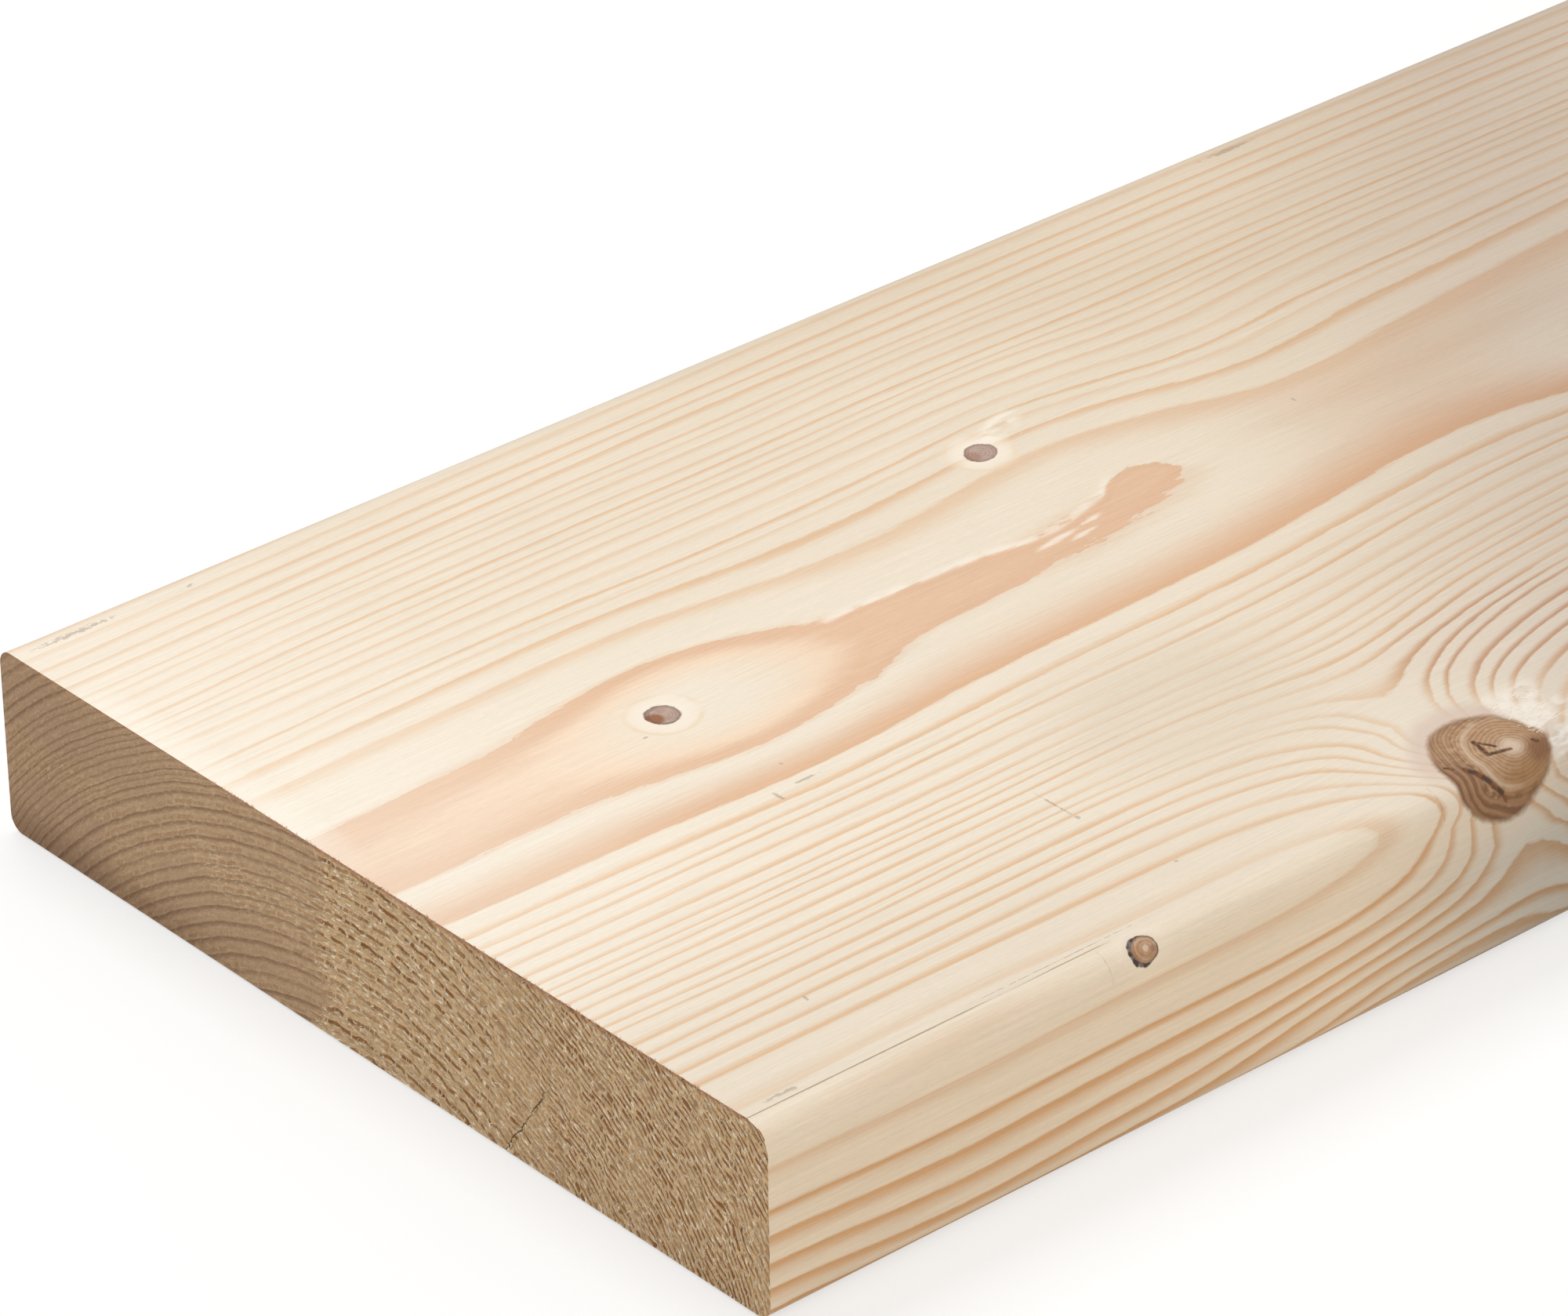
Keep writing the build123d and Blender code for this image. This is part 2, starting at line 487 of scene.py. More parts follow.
sawRough = np.zeros(allCount)
ringArc = np.zeros(allCount)
placeX = allX.copy()
for mask, seed, sign in ((isNear, sawn["nearSeed"], 1), (isFar, sawn["farSeed"], -sawn["farShare"])):
    depth, rough, arc = endRelief(allY[mask], allZ[mask], ringRadius[mask], seed)
    placeX[mask] += sign * depth * np.where(isLong[mask], sawn["rimShare"], 1.0)
    sawRough[mask] = rough
    ringArc[mask] = arc

# Drying check that runs up the near end from its lower arris
endCheck = {"foot": (-33.75, 0.3), "head": (-46.25, 18.9), "halfWidth": 0.05, "depth": 0.3, "soft": 0.35,
            "wander": 0.7, "wanderLength": 2.3, "seed": 5, "below": -2}
footY, footZ = endCheck["foot"]
runY, runZ = endCheck["head"][0] - footY, endCheck["head"][1] - footZ
runLength = math.hypot(runY, runZ)
part = ((allY - footY) * runY + (allZ - footZ) * runZ) / runLength
side = ((allY - footY) * runZ - (allZ - footZ) * runY) / runLength
wander = latticeNoise(part / endCheck["wanderLength"], part * 0, endCheck["seed"]) - 0.5
side = side + endCheck["wander"] * wander
checkWidth = endCheck["halfWidth"] * np.sqrt(np.clip(1 - part / runLength, 0, 1))
isCheck = isNear & (part > endCheck["below"]) & (part < runLength)
checkGap = smoothStep(np.abs(side), checkWidth + endCheck["soft"], checkWidth)
placeX += np.where(isCheck, checkGap, 0) * endCheck["depth"]

# Long faces. First the step that the planer's corner cutter left on the front arris
lift = np.zeros(allCount)
cutterStep = {"depth": 0.16, "fade": (92, 50), "above": 31}
onFrontArc = np.zeros(allCount, bool)
onFrontArc[:longCount] = loopSides[keyJ] == 1
onFrontArc &= allZ > cutterStep["above"]
lift -= cutterStep["depth"] * onFrontArc * smoothStep(allX, *cutterStep["fade"])

# Grain torn out beside the large knot: fuzzy hollows
tornBig = {"from": (167, 170), "to": (181, 177), "across": (-77, -82), "above": 30.4, "depth": 0.7,
           "patchX": 3.1, "patchY": 2.2, "patchSeed": 20, "patch": (0.12, 0.45),
           "fuzzX": 1.3, "fuzzY": 0.8, "fuzzSeed": 21}
over = allY + allZ  # runs on round the arris
torn = smoothStep(allX, *tornBig["from"]) * smoothStep(allX, *tornBig["to"])
torn *= smoothStep(allY, *tornBig["across"]) * ((allZ > tornBig["above"]) & isLong)
patch = latticeNoise(allX / tornBig["patchX"], over / tornBig["patchY"], tornBig["patchSeed"])
torn *= smoothStep(patch, *tornBig["patch"])
tornFuzz = latticeNoise(allX / tornBig["fuzzX"], over / tornBig["fuzzY"], tornBig["fuzzSeed"])
lift -= torn * tornBig["depth"] * tornFuzz

# A smaller torn patch by the second knot, and a pale fringe and slits along the grazed tongue
tornSmall = {"at": (173.5, 42.5), "half": (7.5, 3.6), "slant": 0.35, "rim": (1.1, 0.3), "share": 0.8,
             "patchX": 2.6, "patchY": 1.1, "patchSeed": 8, "patch": (0.25, 0.6)}
tongueFringe = {"rise": (-0.8, 0.2), "fall": (2.2, 0.6), "from": (100, 106), "to": (178, 170), "share": 0.6,
                "patchX": 3.0, "patchY": 0.9, "patchSeed": 14, "patch": (0.2, 0.55), "slitShare": 1.2,
                "slitSlant": 0.12, "slitRim": (1.3, 0.6),
                "slits": [(154.0, 6.3, 5.0, 0.7), (159.0, 4.9, 3.2, 0.5), (163.0, 7.6, 2.6, 0.5)]}
topOnly = 34.9
offX, offY = allX - tornSmall["at"][0], allY - tornSmall["at"][1]
tornTwo = np.hypot(offX / tornSmall["half"][0], (offY - tornSmall["slant"] * offX) / tornSmall["half"][1])
patch = latticeNoise(allX / tornSmall["patchX"], allY / tornSmall["patchY"], tornSmall["patchSeed"])
tornTwo = smoothStep(tornTwo, *tornSmall["rim"]) * smoothStep(patch, *tornSmall["patch"])
aboveTongue, _ = aroundTongue(allX, allY)
fringe = smoothStep(aboveTongue, *tongueFringe["rise"]) * smoothStep(aboveTongue, *tongueFringe["fall"])
fringe *= smoothStep(allX, *tongueFringe["from"]) * smoothStep(allX, *tongueFringe["to"])
patch = latticeNoise(allX / tongueFringe["patchX"], allY / tongueFringe["patchY"], tongueFringe["patchSeed"])
fringe *= smoothStep(patch, *tongueFringe["patch"])
for slitX, slitY, halfX, halfY in tongueFringe["slits"]:
    offX = allX - slitX
    slit = np.hypot(offX / halfX, (allY - slitY - tongueFringe["slitSlant"] * offX) / halfY)
    fringe = np.maximum(fringe, tongueFringe["slitShare"] * smoothStep(slit, *tongueFringe["slitRim"]))
tornTop = np.maximum(tornSmall["share"] * tornTwo, tongueFringe["share"] * fringe)
torn = np.maximum(torn, tornTop * (allZ > topOnly) * isLong)

# Splits across the large knot, each from, to and half width, and the uneven face of every knot
cracks = [
    ((2.2, 3.4), (0.9, 0.1), 0.34), ((0.9, 0.1), (4.8, -0.7), 0.26), ((2.2, 3.4), (3.7, 1.0), 0.22),
    ((-5.3, -0.6), (-1.0, -6.6), 0.42), ((-7.2, 1.4), (-6.6, 0.5), 0.18), ((-1.0, -6.6), (0.2, -8.0), 0.20),
    ((9.4, -1.0), (9.9, -1.6), 0.28),
]
knotRelief = {"crackDepth": 0.12, "crackFrom": 0.3, "crackSoft": 0.1, "depth": 0.10, "edge": (1.05, 0.85),
              "grain": 1.7, "seed": 9, "x": (140, 175), "above": 15, "front": -70}
bigAlong, bigAside, _, _ = branchFrame(largeKnot, allX, allY, allZ)
crack = np.zeros(allCount)
for (fromA, fromB), (toA, toB), halfWidth in cracks:
    goA, goB = toA - fromA, toB - fromB
    share = ((bigAlong - fromA) * goA + (bigAside - fromB) * goB) / (goA * goA + goB * goB)
    share = np.clip(share, 0, 1)
    gap = np.hypot(bigAlong - fromA - share * goA, bigAside - fromB - share * goB)
    line = smoothStep(gap, halfWidth + knotRelief["crackSoft"], halfWidth * knotRelief["crackFrom"])
    crack = np.maximum(crack, line)
crack *= isLong & (allX > knotRelief["x"][0]) & (allX < knotRelief["x"][1])
crack *= (allZ > knotRelief["above"]) & (allY < knotRelief["front"])
lift -= knotRelief["crackDepth"] * crack
inKnot = smoothStep(nearest, *knotRelief["edge"])
uneven = latticeNoise(allX / knotRelief["grain"], over / knotRelief["grain"], knotRelief["seed"])
lift -= knotRelief["depth"] * inKnot * isLong * (0.5 + uneven)

corners = np.stack([placeX - boardLength / 2, allY + lift * allOut[:, 0], allZ + lift * allOut[:, 1]], 1)
corners = corners / perMetre
corners[:, 2] = np.maximum(corners[:, 2], 0.0)


def fillAttribute(mesh, name, kind, values):
    layer = mesh.attributes.new(name, kind, "POINT")
    field = "value" if kind == "FLOAT" else "vector"
    layer.data.foreach_set(field, np.asarray(values, np.float32).ravel())


def addObject(name, data):
    made = bpy.data.objects.new(name, data)
    bpy.context.scene.collection.objects.link(made)
    return made


mesh = bpy.data.meshes.new("plankTimber")
mesh.from_pydata(corners.tolist(), [], faces)
mesh.polygons.foreach_set("use_smooth", np.ones(len(faces), bool))
mesh.polygons.foreach_set("material_index", (np.arange(len(faces)) >= sideFaceCount).astype(np.int32))
fillAttribute(mesh, "ringRadius", "FLOAT", ringRadius)
fillAttribute(mesh, "knotPlace", "FLOAT_VECTOR", knotPlace)
fillAttribute(mesh, "knotLook", "FLOAT_VECTOR", knotLook)
fillAttribute(mesh, "sawRough", "FLOAT", sawRough)
fillAttribute(mesh, "ringArc", "FLOAT", ringArc)
fillAttribute(mesh, "torn", "FLOAT", torn)
edgeEnds = np.zeros(len(mesh.edges) * 2, np.int32)
mesh.edges.foreach_get("vertices", edgeEnds)
onRim = (isNear | isFar) & isLong
sharp = onRim[edgeEnds].reshape(-1, 2).all(1)
mesh.attributes.new("sharp_edge", "BOOLEAN", "EDGE").data.foreach_set("value", sharp)
mesh.update()
timber = addObject("plank_timber", mesh)
print("timber", len(corners), "corners", sum(len(f) - 2 for f in faces), "triangles")


# Shader helpers: each adds to "tree", the node tree being filled
def feed(socket, value):
    if isinstance(value, bpy.types.NodeSocket):
        tree.links.new(value, socket)
    else:
        socket.default_value = value


def addNode(kind, inputs=None, **settings):
    made = tree.nodes.new("ShaderNode" + kind)
    for name, value in settings.items():
        setattr(made, name, value)
    for key, value in (inputs or {}).items():
        feed(made.inputs[key], value)
    return made


def calc(operation, *values):
    return addNode("Math", dict(enumerate(values)), operation=operation).outputs[0]


def times(first, *others):
    for other in others:
        first = calc("MULTIPLY", first, other)
    return first


def timesPlus(first, share, second):
    return calc("MULTIPLY_ADD", first, share, second)


# How far one value lies from another
def apart(first, second):
    return calc("ABSOLUTE", calc("SUBTRACT", first, second))


def vectorCalc(operation, *values):
    made = addNode("VectorMath", dict(enumerate(values)), operation=operation)
    return made.outputs["Value" if operation in ("DISTANCE", "DOT_PRODUCT", "LENGTH") else "Vector"]


def scaleVector(vector, share):
    return addNode("VectorMath", {0: vector, "Scale": share}, operation="SCALE").outputs[0]


def splitAxes(vector):
    return addNode("SeparateXYZ", {0: vector}).outputs


def joinAxes(x, y, z=0.0):
    return addNode("CombineXYZ", {0: x, 1: y, 2: z}).outputs[0]


def ramp(value, low, high, start=0.0, stop=1.0, shape="SMOOTHSTEP"):
    ends = dict(enumerate((value, low, high, start, stop)))
    return addNode("MapRange", ends, interpolation_type=shape).outputs[0]


# Sockets 6, 7 and the output 2 are the node's colour ones
def mixColour(factor, first, second, blend="MIX"):
    return addNode("Mix", {0: factor, 6: first, 7: second}, data_type="RGBA", blend_type=blend).outputs[2]


# A share of the colour multiplied by a dye
def tinted(share, colour, dye):
    return mixColour(share, colour, mixColour(1.0, colour, dye, "MULTIPLY"))


def dimmed(colour, level):
    return mixColour(1.0, colour, joinAxes(level, level, level), "MULTIPLY")


def noise(place, stretch, detail=2.0, rough=0.5, dims="3D"):
    scaled = vectorCalc("MULTIPLY", place, stretch)
    inputs = {"Vector": scaled, "Scale": 1.0, "Detail": detail, "Roughness": rough}
    return addNode("TexNoise", inputs, noise_dimensions=dims).outputs["Fac"]


def newGroup(name, takes, gives):
    made = bpy.data.node_groups.new(name, "ShaderNodeTree")
    for sockets, direction in ((takes, "INPUT"), (gives, "OUTPUT")):
        for label, kind in sockets.items():
            made.interface.new_socket(label, in_out=direction, socket_type="NodeSocket" + kind)
    return made, made.nodes.new("NodeGroupInput").outputs, made.nodes.new("NodeGroupOutput").inputs


def placeGroup(group, **values):
    made = tree.nodes.new("ShaderNodeGroup")
    made.node_tree = group
    for label, value in values.items():
        feed(made.inputs[label], value)
    return made.outputs


def srgb(red, green, blue):
    def linear(level):
        level = level / 255
        return level / 12.92 if level <= 0.04045 else ((level + 0.055) / 1.055) ** 2.4
    return (linear(red), linear(green), linear(blue), 1.0)


white = (1, 1, 1, 1)

# Year rings: pale early wood deepening to a brown line that stops sharply. The ring that the face
# only grazes shows as a broad tan flame, and the next one as a broad band on the flame's front side
rings = {
    "wander": [  # how far the lines stray, how fine, and the noise's detail and roughness
        (0.26, (0.03, 0.30, 0.30), 1.0, 0.5), (0.16, (0.14, 1.4, 1.4), 2.0, 0.6),
        (0.17, (0.30, 1.3, 1.3), 3.0, 0.65),
    ],
    "thinStart": 0.50, "lateFull": 0.95, "lateBend": 1.4, "wideBend": 0.85,
    "flameRing": 15.0, "flameEarlier": 0.10, "flameFull": 0.80,
    "band": (24.0, 10.0), "bandFar": (150.0, 215.0, 0.0, 0.45), "bandEarlier": 0.38,
    "gradedEarlier": 0.42, "gradedBend": 2.0,
    "weakest": 0.42, "faint": (138.0, 141.0, 1.0, 0.45), "afterLine": (0.0, 0.09, 0.5, 0.0),
}
tree, takes, gives = newGroup(
    "yearRings",
    {"Radius": "Float", "Position": "Vector", "Broad": "Float", "Graded": "Float", "Strain": "Float"},
    {"Late": "Float", "Wide": "Float", "Phase": "Float", "Number": "Float"})
yearRings = tree
shift = -sum(wander[0] for wander in rings["wander"]) / 2
for amount, fineness, detail, rough in rings["wander"]:
    shift = timesPlus(noise(takes["Position"], fineness, detail, rough), amount, shift)
radius = calc("ADD", takes["Radius"], shift)
lowest, highest = ringEdges[0], ringEdges[-1]
lastRing = len(ringEdges) - 1
curve = addNode("FloatCurve", {"Value": ramp(radius, lowest, highest, shape="LINEAR")})
points = curve.mapping.curves[0].points
for number, edge in enumerate(ringEdges):
    spot = ((edge - lowest) / (highest - lowest), number / lastRing)
    if number in (0, lastRing):  # the curve starts out with these two
        points[0 if number == 0 else -1].location = spot
    else:
        points.new(*spot)
for point in points:
    point.handle_type = "VECTOR"
curve.mapping.update()
ringCount = times(curve.outputs[0], float(lastRing))
phase = calc("FRACT", ringCount)
ringNumber = calc("FLOOR", ringCount)
chance = addNode("TexWhiteNoise", {"W": ringNumber}, noise_dimensions="1D").outputs["Value"]
spotHere = splitAxes(takes["Position"])
isFlame = times(calc("COMPARE", ringNumber, rings["flameRing"], 0.5), takes["Broad"])
bandHere = calc("MAXIMUM", ramp(spotHere[1], *rings["band"]), ramp(spotHere[0], *rings["bandFar"]))
isBand = times(calc("COMPARE", ringNumber, rings["flameRing"] + 1, 0.5), bandHere, takes["Broad"])
wide = calc("MAXIMUM", isFlame, isBand)
lateStart = timesPlus(isFlame, -rings["flameEarlier"], rings["thinStart"])
lateStart = timesPlus(isBand, -rings["bandEarlier"], lateStart)
lateStart = timesPlus(takes["Graded"], -rings["gradedEarlier"], lateStart)
lateFull = timesPlus(isFlame, rings["flameFull"] - rings["lateFull"], rings["lateFull"])
bend = timesPlus(wide, rings["wideBend"] - rings["lateBend"], rings["lateBend"])
bend = timesPlus(takes["Graded"], rings["gradedBend"] - rings["lateBend"], bend)
late = calc("POWER", ramp(phase, lateStart, lateFull), bend)
strength = timesPlus(chance, 1 - rings["weakest"], rings["weakest"])
strength = addNode("Clamp", {0: calc("ADD", strength, takes["Strain"])}).outputs[0]
strength = times(strength, ramp(radius, *rings["faint"]))
late = times(late, calc("MAXIMUM", strength, wide))
after = times(ramp(phase, *rings["afterLine"]), strength)
feed(gives["Late"], calc("MAXIMUM", late, after))
feed(gives["Wide"], wide)
feed(gives["Phase"], phase)
feed(gives["Number"], ringNumber)

# Fibres: fine streaks drawn out along the grain
grainNoise = {  # fineness, detail, roughness
    "Streak": ((0.05, 2.6, 2.6), 2.0, 0.65), "Fleck": ((0.55, 4.0, 4.0), 1.0, 0.6),
    "Cloud": ((0.008, 0.035, 0.035), 1.0, 0.5),
}
tree, takes, gives = newGroup("fibreGrain", {"Position": "Vector"}, dict.fromkeys(grainNoise, "Float"))
fibreGrain = tree
for label, settings in grainNoise.items():
    feed(gives[label], noise(takes["Position"], *settings))

# Knots: one figure in each branch's own radii
knotDye = {
    "grey": srgb(186, 163, 151), "greyRing": srgb(158, 131, 119), "greyRim": srgb(134, 106, 94),
    "rust": srgb(140, 80, 42), "brown": srgb(196, 165, 130), "brownRing": srgb(154, 110, 70),
    "outer": srgb(104, 66, 38), "outerPale": srgb(166, 126, 90), "gold": srgb(156, 112, 60),
    "paleRing": srgb(214, 194, 168), "pith": srgb(222, 202, 178), "patch": srgb(128, 84, 50),
    "crack": srgb(66, 38, 16), "resin": srgb(126, 72, 26),
    "bark": srgb(58, 45, 42), "barkGrey": srgb(122, 110, 106),
}
knotForm = {
    "bendGrain": (0.16, 0.16, 0.16), "bend": 1.3, "nickGrain": (0.9, 0.9, 0.9), "nick": 0.5, "inset": -0.9,
    "edge": (0.93, 1.05, 1.0, 0.0), "centre": (0.36, 0.06, 0.0), "innerShift": 0.5,
    "ringPitch": 0.62, "ringBend": 9.0, "ringDepth": 0.24,
    "greyRim": (0.72, 1.0, 0.0, 0.7),
    "rustAt": (-0.60, -0.04, 0.0), "rust": (0.34, 0.66, 0.95, 0.0), "rustBark": (0.05, 0.25),
    "goldLow": (0.1, -0.5), "goldRight": (-0.3, 0.3), "gold": 0.6,
    "coarseBend": 7.0, "coarsePitch": 0.42, "coarseDepth": 0.6, "coarseFine": 0.5,
    "outerDark": (-0.5, 0.9, 0.1, 0.8), "outerNick": 0.3, "outer": (0.84, 1.10, 0.0, 0.95),
    "upper": (0.0, 0.6), "left": (0.5, -0.1), "upperLeft": -0.6,
    "paleAt": 0.69, "pale": (0.01, 0.07, 0.5, 0.0), "paleLeft": (0.0, 0.5, 1.0, 0.25),
    "pith": (0.06, 0.30, 0.75, 0.0),
    "patchAt": (0.74, -0.16, 0.0), "patchNick": 0.25, "patch": (0.22, 0.46, 0.8, 0.0),
    "darkRim": (0.84, 1.0, 0.0, 0.3),
    "crackEdge": [(0.01, 0.5), (0.02, 1.5)],  # least, share of the half width
    "crackNick": 0.02, "crackDark": 0.95, "resin": (0.4, 0.65), "cracked": (0.95, 1.0),
    "barkLeft": (-0.5, 0.6, 1.0, 0.35), "barkStart": 0.98, "barkEarlier": -0.38, "barkWidth": 0.14,
    "barkGrey": (0.45, 0.7),
    "fresh": (0.35, 0.8, 1.0, 0.25), "halo": (1.1, 2.5, 1.0, 0.0),
    "haloRingAt": 2.02, "haloRing": (0.0, 0.26, 0.8, 0.0), "haloBroken": (0.35, 0.6, 0.3, 1.0),
    "shoulder": (1.12, 1.46, 1.0, 0.0), "shoulderUp": (-0.3, 0.4),
}
form = knotForm
tree, takes, gives = newGroup(
    "knotFigure", {"Place": "Vector", "Look": "Vector", "Position": "Vector"},
    {"Mask": "Float", "Colour": "Color", "Halo": "Float", "HaloRing": "Float", "Shoulder": "Float"})
knotFigure = tree
along, aside, near = splitAxes(takes["Place"])
bark, tone, size = splitAxes(takes["Look"])
flat = joinAxes(along, aside)
bend = noise(takes["Position"], form["bendGrain"], 0.0)
nick = noise(takes["Position"], form["nickGrain"], 1.0, 0.6)
shift = timesPlus(bend, form["bend"], timesPlus(nick, form["nick"], form["inset"]))
shift = calc("DIVIDE", shift, calc("MAXIMUM", size, 1.0))
away = calc("ADD", vectorCalc("LENGTH", flat), shift)
inner = timesPlus(shift, form["innerShift"], vectorCalc("DISTANCE", flat, scaleVector(form["centre"], tone)))
mask = times(ramp(away, *form["edge"]), near)
# The branch's own year rings, fine ones and a coarser beat
span = times(inner, times(size, 2 * math.pi / form["ringPitch"]))
growth = timesPlus(calc("SINE", timesPlus(bend, form["ringBend"], span)), form["ringDepth"], nick)
coarse = calc("SINE", timesPlus(bend, form["coarseBend"], times(span, form["coarsePitch"])))
coarse = timesPlus(coarse, form["coarseDepth"], times(growth, form["coarseFine"]))
# Small knots are grey with a rusty side
greyKnot = mixColour(growth, knotDye["grey"], knotDye["greyRing"])
greyKnot = mixColour(ramp(away, *form["greyRim"]), greyKnot, knotDye["greyRim"])
rustAway = calc("ADD", vectorCalc("DISTANCE", flat, form["rustAt"]), shift)
rusty = times(ramp(rustAway, *form["rust"]), ramp(bark, *form["rustBark"]))
greyKnot = mixColour(rusty, greyKnot, knotDye["rust"])
# Large ones are brown, golden low on the right, dark outside but for the upper left
brownKnot = mixColour(growth, knotDye["brown"], knotDye["brownRing"])
golden = times(ramp(aside, *form["goldLow"]), ramp(along, *form["goldRight"]), form["gold"])
brownKnot = mixColour(golden, brownKnot, knotDye["gold"])
outerDye = mixColour(ramp(coarse, *form["outerDark"]), knotDye["outerPale"], knotDye["outer"])
upperLeft = times(ramp(aside, *form["upper"]), ramp(along, *form["left"]))
outward = timesPlus(nick, form["outerNick"], inner)
outerShare = times(ramp(outward, *form["outer"]), timesPlus(upperLeft, form["upperLeft"], 1.0))
brownKnot = mixColour(outerShare, brownKnot, outerDye)
paleShare = times(ramp(apart(inner, form["paleAt"]), *form["pale"]), ramp(along, *form["paleLeft"]))
brownKnot = mixColour(paleShare, brownKnot, knotDye["paleRing"])
brownKnot = mixColour(ramp(inner, *form["pith"]), brownKnot, knotDye["pith"])
patchAway = timesPlus(nick, form["patchNick"], vectorCalc("DISTANCE", flat, form["patchAt"]))
brownKnot = mixColour(ramp(patchAway, *form["patch"]), brownKnot, knotDye["patch"])
brownKnot = mixColour(ramp(away, *form["darkRim"]), brownKnot, knotDye["outer"])
# The splits, as lines from start to stop
ownRadius = largeKnot["radius"]
crackMask = 0.0
for (fromA, fromB), (toA, toB), halfWidth in cracks:
    startA, startB = [float(v) / ownRadius for v in ownPlace(largeKnot, fromA, fromB)]
    stopA, stopB = [float(v) / ownRadius for v in ownPlace(largeKnot, toA, toB)]
    runA, runB = stopA - startA, stopB - startB
    square = runA ** 2 + runB ** 2
    fromStart = vectorCalc("SUBTRACT", flat, (startA, startB, 0.0))
    share = vectorCalc("DOT_PRODUCT", fromStart, (runA / square, runB / square, 0.0))
    onRun = scaleVector((runA, runB, 0.0), addNode("Clamp", {0: share}).outputs[0])
    gap = timesPlus(nick, form["crackNick"], vectorCalc("DISTANCE", fromStart, onRun))
    half = halfWidth / ownRadius
    core, rim = [least + half * share for least, share in form["crackEdge"]]
    line = ramp(gap, core, rim, form["crackDark"], 0.0)
    crackMask = calc("MAXIMUM", crackMask, line)
crackDye = mixColour(ramp(nick, *form["resin"]), knotDye["crack"], knotDye["resin"])
brownKnot = mixColour(times(crackMask, ramp(tone, *form["cracked"])), brownKnot, crackDye)
colour = mixColour(tone, greyKnot, brownKnot)
barkStart = timesPlus(ramp(along, *form["barkLeft"]), form["barkEarlier"], form["barkStart"])
barkBand = ramp(away, barkStart, calc("ADD", barkStart, form["barkWidth"]))
barkColour = mixColour(ramp(nick, *form["barkGrey"]), knotDye["bark"], knotDye["barkGrey"])
colour = mixColour(times(barkBand, bark), colour, barkColour)
fresh = ramp(calc("MAXIMUM", bark, tone), *form["fresh"])
haloRing = times(ramp(apart(away, form["haloRingAt"]), *form["haloRing"]), near)
feed(gives["Mask"], mask)
feed(gives["Colour"], colour)
feed(gives["Halo"], times(ramp(away, *form["halo"]), times(near, fresh)))
feed(gives["HaloRing"], times(haloRing, ramp(bend, *form["haloBroken"])))
feed(gives["Shoulder"], times(ramp(away, *form["shoulder"]), near, ramp(aside, *form["shoulderUp"])))

# Specks and scratches of handling on the near part of the top face, and the two long thin lines by the front
# arris, which are painted shadow along the corner cutter's step: middle, half sizes
markAndShadowSpots = [
    ((28.5, -73.5), (0.5, 1.0)), ((95.5, -57.0), (0.35, 5.4)), ((95.6, -62.3), (0.5, 0.8)),
    ((64.6, -25.5), (0.5, 2.1)), ((72.0, -24.2), (4.6, 0.5)), ((71.5, -18.0), (0.4, 0.5)),
    ((98.0, -82.5), (0.6, 0.5)), ((218.0, 15.0), (0.5, 1.2)), ((27.0, -92.8), (30.0, 0.22)),
    ((66.0, -91.6), (24.0, 0.16)), ((9.0, -91.2), (5.0, 0.7)), ((12.0, 92.8), (10.5, 0.9)),
    ((36.0, 92.6), (1.1, 0.5)), ((276.0, 93.0), (8.5, 0.8)), ((60.5, 3.0), (0.8, 0.35)),
]
markForm = {"upScale": 0.25, "brokenGrain": (0.8, 1.3, 1.3), "broken": (0.38, 0.66, 0.0, 0.55),
                "edge": (0.55, 1.1, 1.0, 0.0), "none": 1000.0}
tree, takes, gives = newGroup("marksAndStepShadow", {"Position": "Vector"}, {"Mask": "Float"})
marksAndStepShadow = tree
closest = markForm["none"]
upScale = markForm["upScale"]
for (middleX, middleY), (halfX, halfY) in markAndShadowSpots:
    toMiddle = (-middleX / halfX, -middleY / halfY, -upScale * boardThickness)
    local = vectorCalc("MULTIPLY_ADD", takes["Position"], (1 / halfX, 1 / halfY, upScale), toMiddle)
    closest = calc("MINIMUM", closest, vectorCalc("LENGTH", local))
broken = noise(takes["Position"], markForm["brokenGrain"], 1.0, 0.7)
closest = calc("ADD", closest, ramp(broken, *markForm["broken"]))
feed(gives["Mask"], ramp(closest, *markForm["edge"]))
print("node groups", [group.name for group in bpy.data.node_groups])


# The place in the wood, in the millimetres used above
def woodPlace():
    spot = addNode("TexCoord").outputs["Object"]
    return vectorCalc("MULTIPLY_ADD", spot, (perMetre, perMetre, perMetre), (boardLength / 2, 0, 0))


def attribute(name, output="Fac"):
    return addNode("Attribute", attribute_name=name).outputs[output]


def nearSpot(place, where):
    offset = vectorCalc("MULTIPLY", vectorCalc("SUBTRACT", place, where["at"]), where["reach"])
    return ramp(vectorCalc("LENGTH", offset), *where["edge"], 1.0, 0.0)


def newMaterial(name):
    made = bpy.data.materials.new(name)
    made.use_nodes = True
    return made, made.node_tree, made.node_tree.nodes["Principled BSDF"]
